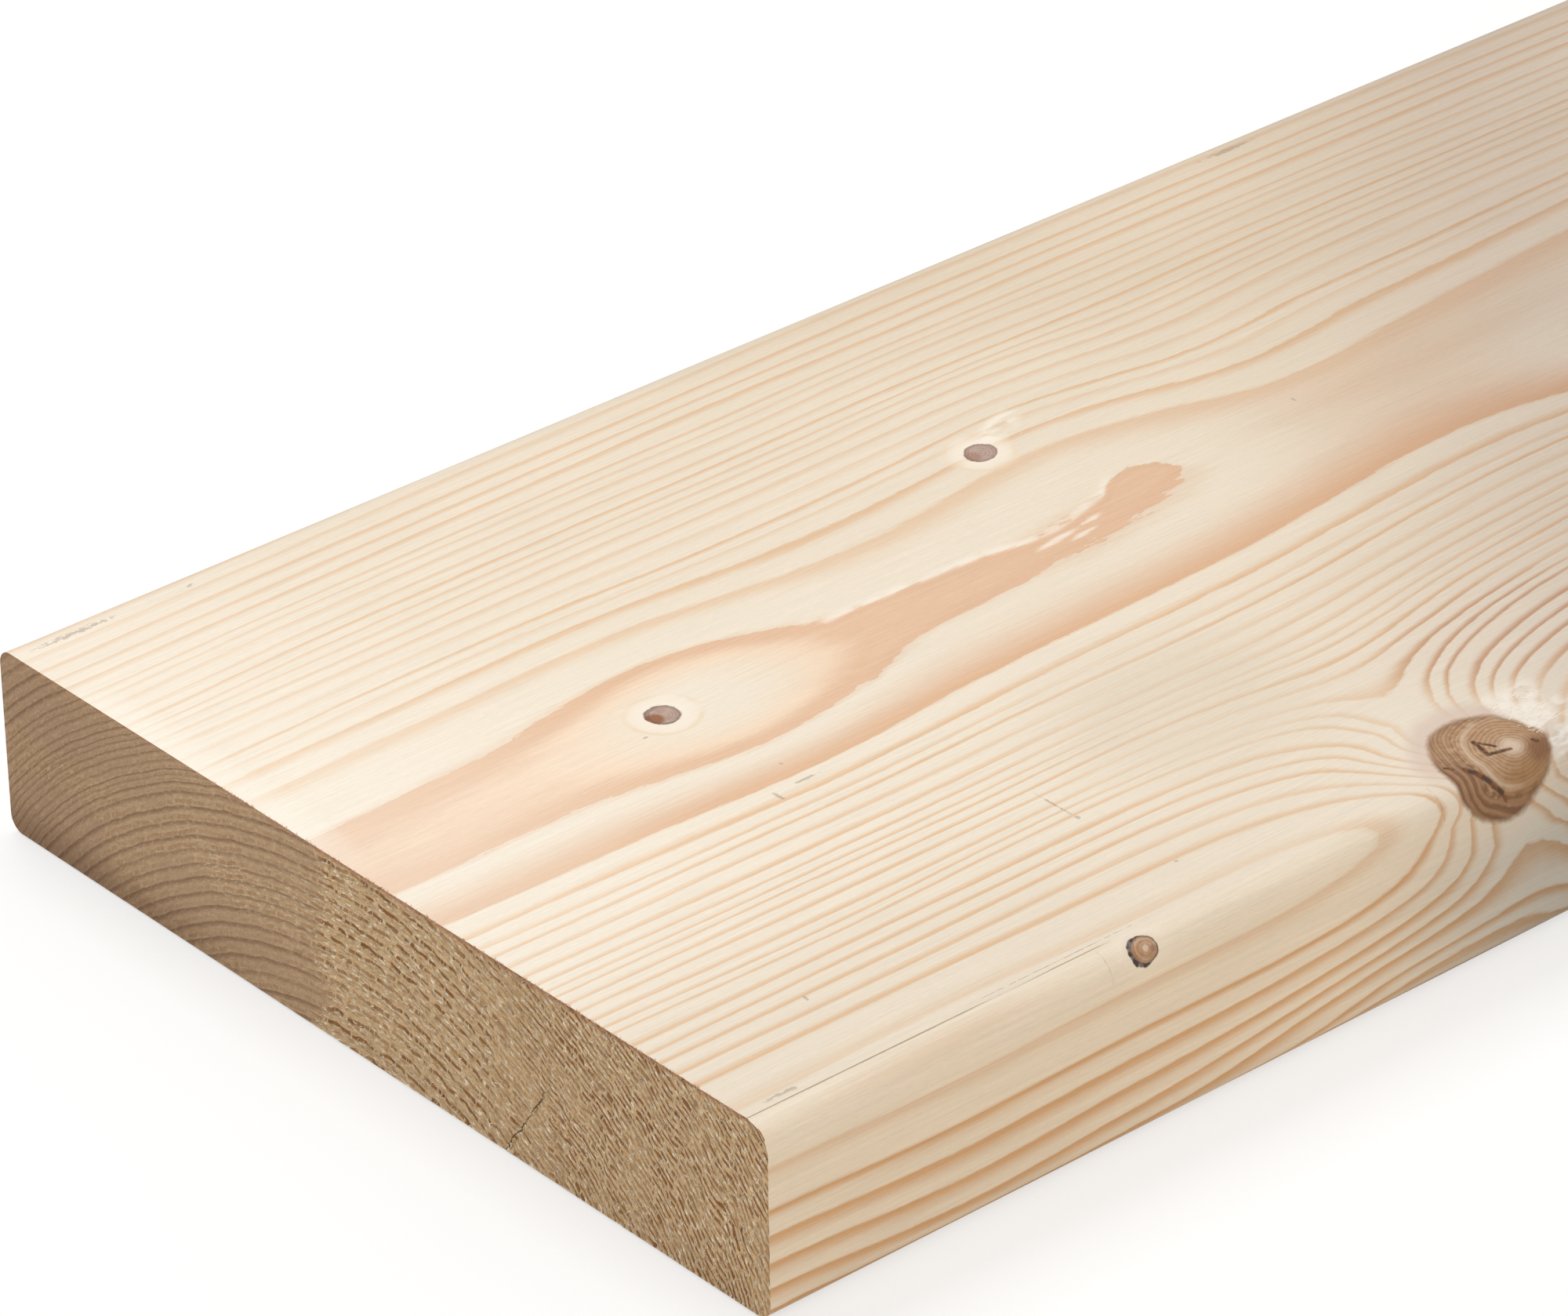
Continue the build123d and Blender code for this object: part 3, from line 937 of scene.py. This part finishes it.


# Planed faces: their dyes, among them painted light (a pale painted highlight by the near end, a painted
# shadow along the corner cutter's step, greyer painted shade past the large knot and on the front edge there,
# and a warm tint that is partly painted fall-off of light), then where along x, y or z each of them comes and
# goes
planed = {
    "early": srgb(235, 225, 208), "late": srgb(226, 192, 155), "edgeLate": srgb(214, 173, 130),
    "strained": srgb(206, 164, 130), "flame": srgb(238, 214, 188), "tongue": srgb(224, 188, 157),
    "band": srgb(221, 182, 148), "paintedHighlight": srgb(245, 238, 226), "halo": srgb(240, 231, 215),
    "haloRing": srgb(226, 202, 170), "shoulder": srgb(212, 190, 174), "torn": srgb(244, 238, 226),
    "mark": srgb(150, 128, 106), "step": srgb(164, 138, 108),
    "warm": (0.79, 0.735, 0.675, 1), "paintedShade": (0.82, 0.81, 0.84, 1), "frontPaintedShade": (0.62, 0.68, 0.77, 1),
}
planedAt = {
    "frontY": (-91.0, -96.0), "frontStrain": 0.30, "gradedZ": (18.6, 16.4),
    "halfY": (-14.0, -30.0), "halfX": (55.0, 125.0, 0.42, 0.08),
    "tonguePhase": (0.68, 0.90), "warmRun": (30.0, 300.0), "warmY": (-14.0, -94.0, 0.0, 0.45),
    "warmCloud": (0.3, 0.7, 0.78, 1.12), "highlightX": (0.0, 70.0, 0.25, 0.0), "highlightY": (-88.0, -30.0),
    "rimX": (0.0, 13.0, 0.6, 0.0), "rimFrontY": (-12.0, 18.0), "rimBackY": (88.0, 66.0),
    "streak": (0.3, 0.7, 0.95, 1.05), "fleck": (0.25, 0.75, 0.97, 1.03),
    "halo": 0.62, "haloRingTone": (0.1, 0.6, 0.7, 0.0), "shoulderTone": (0.6, 1.0, 0.0, 0.7),
    "torn": 0.85, "marks": 0.5,
    "shadeSlant": -0.72, "shadeRun": (185.0, 280.0), "shadeX": (340.0, 640.0, 1.0, 0.0), "shadeZ": (15.0, 30.0),
    "frontShadeX": (115.0, 172.0), "frontShadeEndX": (230.0, 420.0, 1.0, 0.0),
    "frontShadeZ": (32.0, 16.0, 0.3, 1.0),
    "roughness": 0.62, "bump": {"Strength": 0.22, "Distance": 0.0001},
}
strain = {"at": (190.0, -66.0, 0.0), "reach": (1 / 32, 1 / 17, 0.0), "edge": (0.45, 1.1), "more": 0.6}
# Painted sheen: round this spot the ring lines fade, and the wood turns a little darker and warmer
calm = {"at": (131.0, -48.0, 0.0), "reach": (1 / 36, 1 / 34, 0.0), "edge": (0.3, 1.0),
        "less": -0.40, "warmer": 0.30}
# A thin painted shadow along the corner cutter's step on the front arris
stepShadow = {"y": -92.75, "edge": (0.07, 0.224, 0.8, 0.0), "z": (33.5, 34.5), "x": (30.0, 104.0, 0.9, -0.9),
            "broken": (0.35, 0.65, -0.5, 0.5), "left": (0.0, 0.4)}
at = planedAt
planedWood, tree, shader = newMaterial("planedSoftwood")
place = woodPlace()
placeX, placeY, placeZ = splitAxes(place)
onFront = ramp(placeY, *at["frontY"])
strained = nearSpot(place, strain)
sheenHere = nearSpot(place, calm)
strainHere = timesPlus(sheenHere, calm["less"], times(strained, strain["more"]))
strainHere = timesPlus(onFront, at["frontStrain"], strainHere)
strainHere = calc("ADD", times(ramp(placeY, *at["halfY"]), ramp(placeX, *at["halfX"])), strainHere)
ringsHere = placeGroup(yearRings, Radius=attribute("ringRadius"), Position=place, Broad=1.0,
                       Graded=times(onFront, ramp(placeZ, *at["gradedZ"])), Strain=strainHere)
fibres = placeGroup(fibreGrain, Position=place)
knotLookHere = attribute("knotLook", "Vector")
knotTone = splitAxes(knotLookHere)[1]
knotHere = placeGroup(knotFigure, Place=attribute("knotPlace", "Vector"), Look=knotLookHere, Position=place)
# Rings
isBand = ramp(ringsHere["Number"], rings["flameRing"] + 0.4, rings["flameRing"] + 0.6)
flame = mixColour(ramp(ringsHere["Phase"], *at["tonguePhase"]), planed["flame"], planed["tongue"])
broad = mixColour(isBand, flame, planed["band"])
# The top's late wood is paler than the front edge's: painted highlight washing out the brighter-lit top
lateColour = mixColour(onFront, planed["late"], planed["edgeLate"])
lateColour = mixColour(strained, lateColour, planed["strained"])
lateColour = mixColour(ringsHere["Wide"], lateColour, broad)
colour = mixColour(ringsHere["Late"], planed["early"], lateColour)
# Darker and warmer away from the near end and towards both long edges: painted fall-off of light from the
# near end, kept on further along as the wood's own tone and varied at random by the cloud; then a painted
# highlight by the near end
backward = calc("MAXIMUM", placeY, 0.0)
falloffAndTone = calc("MAXIMUM", ramp(calc("ADD", placeX, backward), *at["warmRun"], shape="LINEAR"),
              ramp(placeY, *at["warmY"]))
falloffAndTone = times(falloffAndTone, ramp(fibres["Cloud"], *at["warmCloud"], "LINEAR"))
falloffAndTone = timesPlus(sheenHere, calm["warmer"], falloffAndTone)
colour = tinted(falloffAndTone, colour, planed["warm"])
# Painted highlight: paler by the near end, and in a band along its top edge, where the light falls brightest
paintedHighlight = times(ramp(placeX, *at["highlightX"]), ramp(placeY, *at["highlightY"]))
rimHighlight = times(ramp(placeX, *at["rimX"]), times(ramp(placeY, *at["rimFrontY"]), ramp(placeY, *at["rimBackY"])))
colour = mixColour(calc("MAXIMUM", paintedHighlight, rimHighlight), colour, planed["paintedHighlight"])
colour = dimmed(colour, times(ramp(fibres["Streak"], *at["streak"], "LINEAR"),
                              ramp(fibres["Fleck"], *at["fleck"], "LINEAR")))
# Knots and what surrounds them, torn grain, handling
colour = mixColour(times(knotHere["Halo"], at["halo"]), colour, planed["halo"])
haloRing = times(knotHere["HaloRing"], ramp(knotTone, *at["haloRingTone"]))
colour = mixColour(haloRing, colour, planed["haloRing"])
shoulder = times(knotHere["Shoulder"], ramp(knotTone, *at["shoulderTone"]))
colour = mixColour(shoulder, colour, planed["shoulder"])
colour = mixColour(times(attribute("torn"), at["torn"]), colour, planed["torn"])
colour = mixColour(knotHere["Mask"], colour, knotHere["Colour"])
# Handling marks, and painted shadow along the cutter's step, in one dye
marksAndShadowHere = placeGroup(marksAndStepShadow, Position=place)
colour = mixColour(times(marksAndShadowHere["Mask"], at["marks"]), colour, planed["mark"])
# Painted shadow along the corner cutter's step, breaking up as it fades out
onStepShadow = times(ramp(apart(placeY, stepShadow["y"]), *stepShadow["edge"]), ramp(placeZ, *stepShadow["z"]))
stepShadowLeft = calc("ADD", ramp(placeX, *stepShadow["x"]), ramp(fibres["Streak"], *stepShadow["broken"]))
colour = mixColour(times(onStepShadow, ramp(stepShadowLeft, *stepShadow["left"])), colour, planed["step"])
# Painted shade over the part by the large knot, fading out further along, and a greyer painted shade on the
# front edge there
slant = timesPlus(placeY, at["shadeSlant"], placeX)
paintedShadeHere = times(ramp(slant, *at["shadeRun"]), times(ramp(placeX, *at["shadeX"]), ramp(placeZ, *at["shadeZ"])))
colour = tinted(paintedShadeHere, colour, planed["paintedShade"])
frontShadeHere = times(onFront, ramp(placeX, *at["frontShadeX"]), ramp(placeX, *at["frontShadeEndX"]),
                 ramp(placeZ, *at["frontShadeZ"]))
colour = tinted(frontShadeHere, colour, planed["frontPaintedShade"])
feed(shader.inputs["Base Color"], colour)
shader.inputs["Roughness"].default_value = at["roughness"]
feed(shader.inputs["Normal"], addNode("Bump", at["bump"] | {"Height": fibres["Fleck"]}).outputs[0])

# Sawn ends: "sawRough" holds how rough the saw left the wood
sawnLook = {
    "early": srgb(189, 162, 134), "late": srgb(142, 111, 86), "torn": srgb(224, 195, 153),
    "pit": srgb(146, 88, 32), "fuzz": srgb(255, 242, 220), "rim": srgb(190, 136, 102),
    "check": srgb(84, 50, 24), "dimTint": (0.66, 0.61, 0.58, 1),
}
sawnAt = {
    "strain": 0.2, "rowSpread": 37.0, "rowBendGrain": (0.11, 0.05, 0.0), "rowBend": 2.4, "closeRows": 1.20,
    "wideHalf": 0.16, "closeHalf": 0.23, "closeY": (-22.0, -55.0),
    "patchGrain": (0.0, 0.13, 0.16), "patch": (0.36, 0.58, 0.55, 1.0),
    "tearGrain": (0.62, 2.1, 0.0), "tear": (0.60, 0.70, 0.0, 0.5), "tearRough": (0.0, 1.0, 0.16, 1.0),
    "fuzz": (0.47, 0.35, 0.0, 1.0), "fuzzRough": (0.1, 0.9, 0.10, 0.9), "lateRough": (0.1, 0.9, 0.85, 0.3),
    "pit": 0.9, "gritGrain": (1.9, 1.9, 1.9), "grit": (0.3, 0.7, 0.87, 1.12),
    "dimZ": (9.0, 0.5), "dimY": (20.0, 60.0), "dimGrit": (0.3, 0.6, 0.5, 1.0),
    "backY": (45.0, 95.0, 0.0, 0.35),
    "rimBelow": 1.5, "rimFull": 0.3, "rim": 0.6, "rimRough": (0.2, 0.8, 0.25, 1.0),
    "roughness": 0.85, "fuzzHeight": 0.7, "gritHeight": 0.4, "bump": {"Strength": 0.8, "Distance": 0.0005},
}
rowForm = {"dashGrain": (0.52, 1.0, 0.0), "dash": (0.41, 0.50), "wanderGrain": (0.31, 1.3, 0.0),
           "wander": 0.36, "start": 0.07, "core": 0.45}
checkLook = {"grain": (0.0, 0.35, 0.35), "wander": 1.6, "edge": (0.04, 0.16, 0.9, 0.0), "fade": 6.0,
             "nearHalf": (0.4, 0.6)}


# Rows of torn dashes: each ring has its own run of lengths, and wanders in from the hard line
def tornRow(along, phase, half):
    dash = noise(along, rowForm["dashGrain"], 2.0, 0.7, "2D")
    wander = noise(along, rowForm["wanderGrain"], 1.0, 0.5, "2D")
    offRow = apart(phase, timesPlus(wander, rowForm["wander"], rowForm["start"]))
    return times(ramp(offRow, half * rowForm["core"], half, 1.0, 0.0), ramp(dash, *rowForm["dash"]))


at = sawnAt
sawnWood, tree, shader = newMaterial("sawnSoftwood")
place = woodPlace()
placeX, placeY, placeZ = splitAxes(place)
radiusHere, arcHere, roughHere = [attribute(name) for name in ("ringRadius", "ringArc", "sawRough")]
ringsHere = placeGroup(yearRings, Radius=radiusHere, Position=place, Broad=0.0, Graded=0.0,
                       Strain=at["strain"])
alongRow = joinAxes(arcHere, times(ringsHere["Number"], at["rowSpread"]))
alongRing = joinAxes(arcHere, radiusHere)
rowBend = noise(alongRing, at["rowBendGrain"], 1.0, 0.5, "2D")
closeCount = calc("DIVIDE", timesPlus(rowBend, at["rowBend"], radiusHere), at["closeRows"])
alongClose = joinAxes(arcHere, times(calc("FLOOR", closeCount), at["rowSpread"]))
wideRows = tornRow(alongRow, ringsHere["Phase"], at["wideHalf"])
closeRows = tornRow(alongClose, calc("FRACT", closeCount), at["closeHalf"])
towardsFront = ramp(placeY, *at["closeY"])
dashes = addNode("Mix", {0: towardsFront, 2: wideRows, 3: closeRows}, data_type="FLOAT").outputs[0]
dashes = times(dashes, ramp(noise(place, at["patchGrain"], 1.0), *at["patch"]))
tear = noise(alongRing, at["tearGrain"], 2.0, 0.6, "2D")
grit = noise(place, at["gritGrain"], 2.0, 0.7)
finePit = calc("MAXIMUM", dashes, ramp(tear, *at["tear"]))
finePit = times(finePit, ramp(roughHere, *at["tearRough"], "LINEAR"))
fuzz = times(ramp(tear, *at["fuzz"]), ramp(roughHere, *at["fuzzRough"]))
base = mixColour(roughHere, sawnLook["early"], sawnLook["torn"])
colour = mixColour(times(ringsHere["Late"], ramp(roughHere, *at["lateRough"])), base, sawnLook["late"])
colour = mixColour(fuzz, colour, sawnLook["fuzz"])
colour = mixColour(times(finePit, at["pit"]), colour, sawnLook["pit"])
colour = dimmed(colour, ramp(grit, *at["grit"], "LINEAR"))
# Darker in patches towards the foot, and darker towards the back
dimTint = times(ramp(placeZ, *at["dimZ"]), ramp(placeY, *at["dimY"]), ramp(grit, *at["dimGrit"]))
colour = tinted(dimTint, colour, sawnLook["dimTint"])
colour = tinted(ramp(placeY, *at["backY"]), colour, sawnLook["dimTint"])
rim = ramp(placeZ, boardThickness - at["rimBelow"], boardThickness - at["rimFull"], 0.0, at["rim"])
colour = mixColour(times(rim, ramp(roughHere, *at["rimRough"])), colour, sawnLook["rim"])
# The drying check as a hair line, wandering a little on its way up
fromFoot = vectorCalc("SUBTRACT", place, (0.0, footY, footZ))
alongCheck = vectorCalc("DOT_PRODUCT", fromFoot, (0.0, runY / runLength, runZ / runLength))
offCheck = vectorCalc("DOT_PRODUCT", fromFoot, (0.0, runZ / runLength, -runY / runLength))
offCheck = calc("SUBTRACT", offCheck, checkLook["wander"] / 2)
offCheck = timesPlus(noise(place, checkLook["grain"], 2.0), checkLook["wander"], offCheck)
onCheck = times(ramp(calc("ABSOLUTE", offCheck), *checkLook["edge"]),
                ramp(alongCheck, runLength, runLength - checkLook["fade"]))
nearFrom, nearTo = [boardLength * share for share in checkLook["nearHalf"]]
colour = mixColour(times(onCheck, ramp(placeX, nearFrom, nearTo, 1.0, 0.0)), colour, sawnLook["check"])
feed(shader.inputs["Base Color"], colour)
shader.inputs["Roughness"].default_value = at["roughness"]
height = timesPlus(finePit, -1.0, timesPlus(fuzz, at["fuzzHeight"], times(grit, at["gritHeight"])))
feed(shader.inputs["Normal"], addNode("Bump", at["bump"] | {"Height": height}).outputs[0])

mesh.materials.append(planedWood)
mesh.materials.append(sawnWood)
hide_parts("plank")
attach(timber, "root")
print("materials", [m.name for m in mesh.materials])

# Torn fibres that stand out of the sawn ends and the torn grain
fibreLook = {"seed": 20, "pale": srgb(250, 240, 222), "russet": srgb(190, 138, 104), "roughness": 0.8,
             "mottleGrain": (0.8, 0.8, 0.8), "mottle": (0.3, 0.7, -0.15, 0.15)}
endFibre = {"z": (0.6, 34.4), "topZ": (34.2, 34.9), "sunk": 0.35, "topRise": 0.7, "out": (0.35, 0.9),
            "length": (0.45, 0.95)}
faceFibre = {"sunk": 0.15, "aside": (-0.4, 0.4), "rise": (0.12, 0.35), "length": (0.5, 1.3)}
fibreForm = {"girth": (0.7, 1.4), "middle": 0.55, "tip": 0.45, "curl": 0.3, "middleGirth": 0.8,
             "toneSpread": (-0.3, 0.3)}
chanceOf = np.random.RandomState(fibreLook["seed"])


def unitRows(vectors):
    return vectors / np.linalg.norm(vectors, axis=1, keepdims=True)


def endFibres(count, endX, outX, low, high, topOnly):
    y = chanceOf.uniform(low, high, count)
    z = chanceOf.uniform(*endFibre["topZ" if topOnly else "z"], count)
    starts = np.stack([np.full(count, endX - endFibre["sunk"] * outX), y, z], 1)
    turn = chanceOf.uniform(0, 2 * np.pi, count)
    up = np.abs(np.sin(turn)) * endFibre["topRise"] if topOnly else np.sin(turn)
    headings = np.stack([outX * chanceOf.uniform(*endFibre["out"], count), np.cos(turn), up], 1)
    return starts, unitRows(headings), chanceOf.uniform(*endFibre["length"], count)


def faceFibres(count, alongRange, acrossRange):
    x, y = chanceOf.uniform(*alongRange, count), chanceOf.uniform(*acrossRange, count)
    starts = np.stack([x, y, np.full(count, boardThickness - faceFibre["sunk"])], 1)
    headings = np.stack([chanceOf.choice([-1.0, 1.0], count), chanceOf.uniform(*faceFibre["aside"], count),
                         chanceOf.uniform(*faceFibre["rise"], count)], 1)
    return starts, unitRows(headings), chanceOf.uniform(*faceFibre["length"], count)


fibreGroups = [  # what grows, thickness, paleness
    (endFibres(900, 0.0, -1, -96.5, 14.0, False), 0.08, 0.9),
    (endFibres(1000, 0.0, -1, -93.0, 40.0, True), 0.07, 0.3),
    (endFibres(500, boardLength, 1, -96.5, 14.0, False), 0.08, 0.9),
    (endFibres(300, boardLength, 1, -93.0, 40.0, True), 0.07, 0.3),
    (faceFibres(150, (168.0, 178.0), (-93.0, -80.0)), 0.04, 1.3),
    (faceFibres(50, (168.0, 179.0), (38.0, 46.0)), 0.04, 1.3),
]
# Each fibre: a triangle at its root, one at its middle, and a tip
fibreShape = [(0, 2, 1), (0, 1, 4, 3), (1, 2, 5, 4), (2, 0, 3, 5), (3, 4, 6), (4, 5, 6), (5, 3, 6)]
fibreSize = 7
fibreCorners, fibreFaces, fibreTones = [], [], []
for (starts, headings, lengths), thickness, paleness in fibreGroups:
    count = len(starts)
    sideways = unitRows(np.cross(headings, chanceOf.normal(size=(count, 3))))
    other = np.cross(headings, sideways)
    girth = (thickness * chanceOf.uniform(*fibreForm["girth"], count))[:, None]
    middles = starts + headings * (fibreForm["middle"] * lengths)[:, None]
    curled = unitRows(headings + fibreForm["curl"] * sideways)
    tips = middles + curled * (fibreForm["tip"] * lengths)[:, None]
    ownCorners = []
    for centre, share in ((starts, 1.0), (middles, fibreForm["middleGirth"])):
        for third in range(3):
            turn = 2 * np.pi * third / 3
            ownCorners.append(centre + share * girth * (math.cos(turn) * sideways + math.sin(turn) * other))
    ownCorners.append(tips)
    first = sum(len(c) for c in fibreCorners)
    fibreCorners.append(np.stack(ownCorners, 1).reshape(-1, 3))
    for number in range(count):
        fibreFaces += [[first + fibreSize * number + k for k in face] for face in fibreShape]
    tones = np.clip(paleness + chanceOf.uniform(*fibreForm["toneSpread"], count), 0, 1)
    fibreTones.append(np.repeat(tones, fibreSize))
fibrePlaces = (np.concatenate(fibreCorners) - (boardLength / 2, 0, 0)) / perMetre
fibrePlaces[:, 2] = np.maximum(fibrePlaces[:, 2], 0.0)
fibreMesh = bpy.data.meshes.new("plankFibres")
fibreMesh.from_pydata(fibrePlaces.tolist(), [], fibreFaces)
fillAttribute(fibreMesh, "tone", "FLOAT", np.concatenate(fibreTones))
fibreMesh.update()
tornFibres = addObject("plank_fibres", fibreMesh)
fibreWood, tree, shader = newMaterial("tornSoftwood")
mottle = ramp(noise(woodPlace(), fibreLook["mottleGrain"], 1.0), *fibreLook["mottle"])
tone = calc("ADD", attribute("tone"), mottle)
feed(shader.inputs["Base Color"], mixColour(tone, fibreLook["russet"], fibreLook["pale"]))
shader.inputs["Roughness"].default_value = fibreLook["roughness"]
fibreMesh.materials.append(fibreWood)
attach(tornFibres, "root")
print("fibres", len(fibreFaces), "faces")

# Studio: pale floor that the camera sees near white, with the plank's shadow on it
floorLook = {"reach": 8.0, "z": -0.0004, "glow": 0.62,
             "seen": (0.97, 0.97, 0.97, 1), "bounce": (0.76, 0.68, 0.58, 1)}
reach = floorLook["reach"]
floorMesh = bpy.data.meshes.new("studioFloor")
floorMesh.from_pydata([(-reach, -reach, 0), (reach, -reach, 0), (reach, reach, 0), (-reach, reach, 0)],
                      [], [(0, 1, 2, 3)])
floor = addObject("studioFloor", floorMesh)
floor.location.z = floorLook["z"]
floorPaint, tree, shader = newMaterial("floorPaint")
seen = addNode("LightPath").outputs["Is Camera Ray"]
matt = addNode("BsdfDiffuse", {"Color": mixColour(seen, floorLook["bounce"], floorLook["seen"])}).outputs[0]
glow = addNode("Emission", {"Color": white, "Strength": 1.0}).outputs[0]
painted = addNode("MixShader", {0: times(seen, floorLook["glow"]), 1: matt, 2: glow}).outputs[0]
feed(tree.nodes["Material Output"].inputs["Surface"], painted)
tree.nodes.remove(shader)
floorPaint.cycles.emission_sampling = "NONE"
floorMesh.materials.append(floorPaint)


def aimAt(item, place, target, roll=0.0):
    item.location = place
    item.rotation_mode = "QUATERNION"
    aim = (Vector(target) - Vector(place)).to_track_quat("-Z", "Y")
    item.rotation_quaternion = aim @ Quaternion((0, 0, 1), roll)


lamps = {
    "overhead": {"place": (-0.2, 0.45, 1.6), "target": (-0.2, 0.0, 0.0), "size": (3.2, 1.4), "power": 8.1},
    "nearEnd": {"place": (-0.82, 0.42, 0.95), "target": (-0.80, 0.02, 0.035), "size": (0.5, 0.5),
                "power": 4.5},
}
for name, lamp in lamps.items():
    lampData = bpy.data.lights.new(name, "AREA")
    lampData.shape = "RECTANGLE"
    lampData.size, lampData.size_y = lamp["size"]
    lampData.energy = lamp["power"]
    aimAt(addObject(name, lampData), lamp["place"], lamp["target"])

# Soft light from all round: strongest and warmest from the front, a little more from the near end
room = {"even": 0.32, "front": 0.85, "nearSide": 0.06, "warm": (1.0, 0.93, 0.84, 1), "turn": (0.2, -0.8)}
world = bpy.data.worlds.new("studioWorld")
bpy.context.scene.world = world
world.use_nodes = True
tree = world.node_tree
sky = tree.nodes["Background"]
direction = splitAxes(addNode("TexCoord").outputs["Generated"])
fromFront = ramp(direction[1], *room["turn"])
fromNear = ramp(direction[0], *room["turn"])
strength = timesPlus(fromNear, room["nearSide"], timesPlus(fromFront, room["front"], room["even"]))
seen = addNode("LightPath").outputs["Is Camera Ray"]
feed(sky.inputs["Strength"], calc("MAXIMUM", strength, seen))
feed(sky.inputs["Color"], mixColour(seen, mixColour(fromFront, white, room["warm"]), white))
print("lamps", list(lamps), "and", world.name)

# Camera measured from the plank's edges in the photo
shot = {"lens": 185.44, "place": (-1.55089, -0.86899, 0.70503), "target": (-0.80607, 0.00729, 0.035),
        "rollDegrees": -0.9515, "sensor": 36.0, "clipStart": 0.05}
cameraData = bpy.data.cameras.new("camera")
cameraData.lens = shot["lens"]
cameraData.sensor_width = shot["sensor"]
cameraData.sensor_fit = "HORIZONTAL"
cameraData.clip_start = shot["clipStart"]
camera = addObject("camera", cameraData)
aimAt(camera, shot["place"], shot["target"], math.radians(shot["rollDegrees"]))
bpy.context.scene.camera = camera
bpy.context.scene.view_settings.view_transform = "Standard"
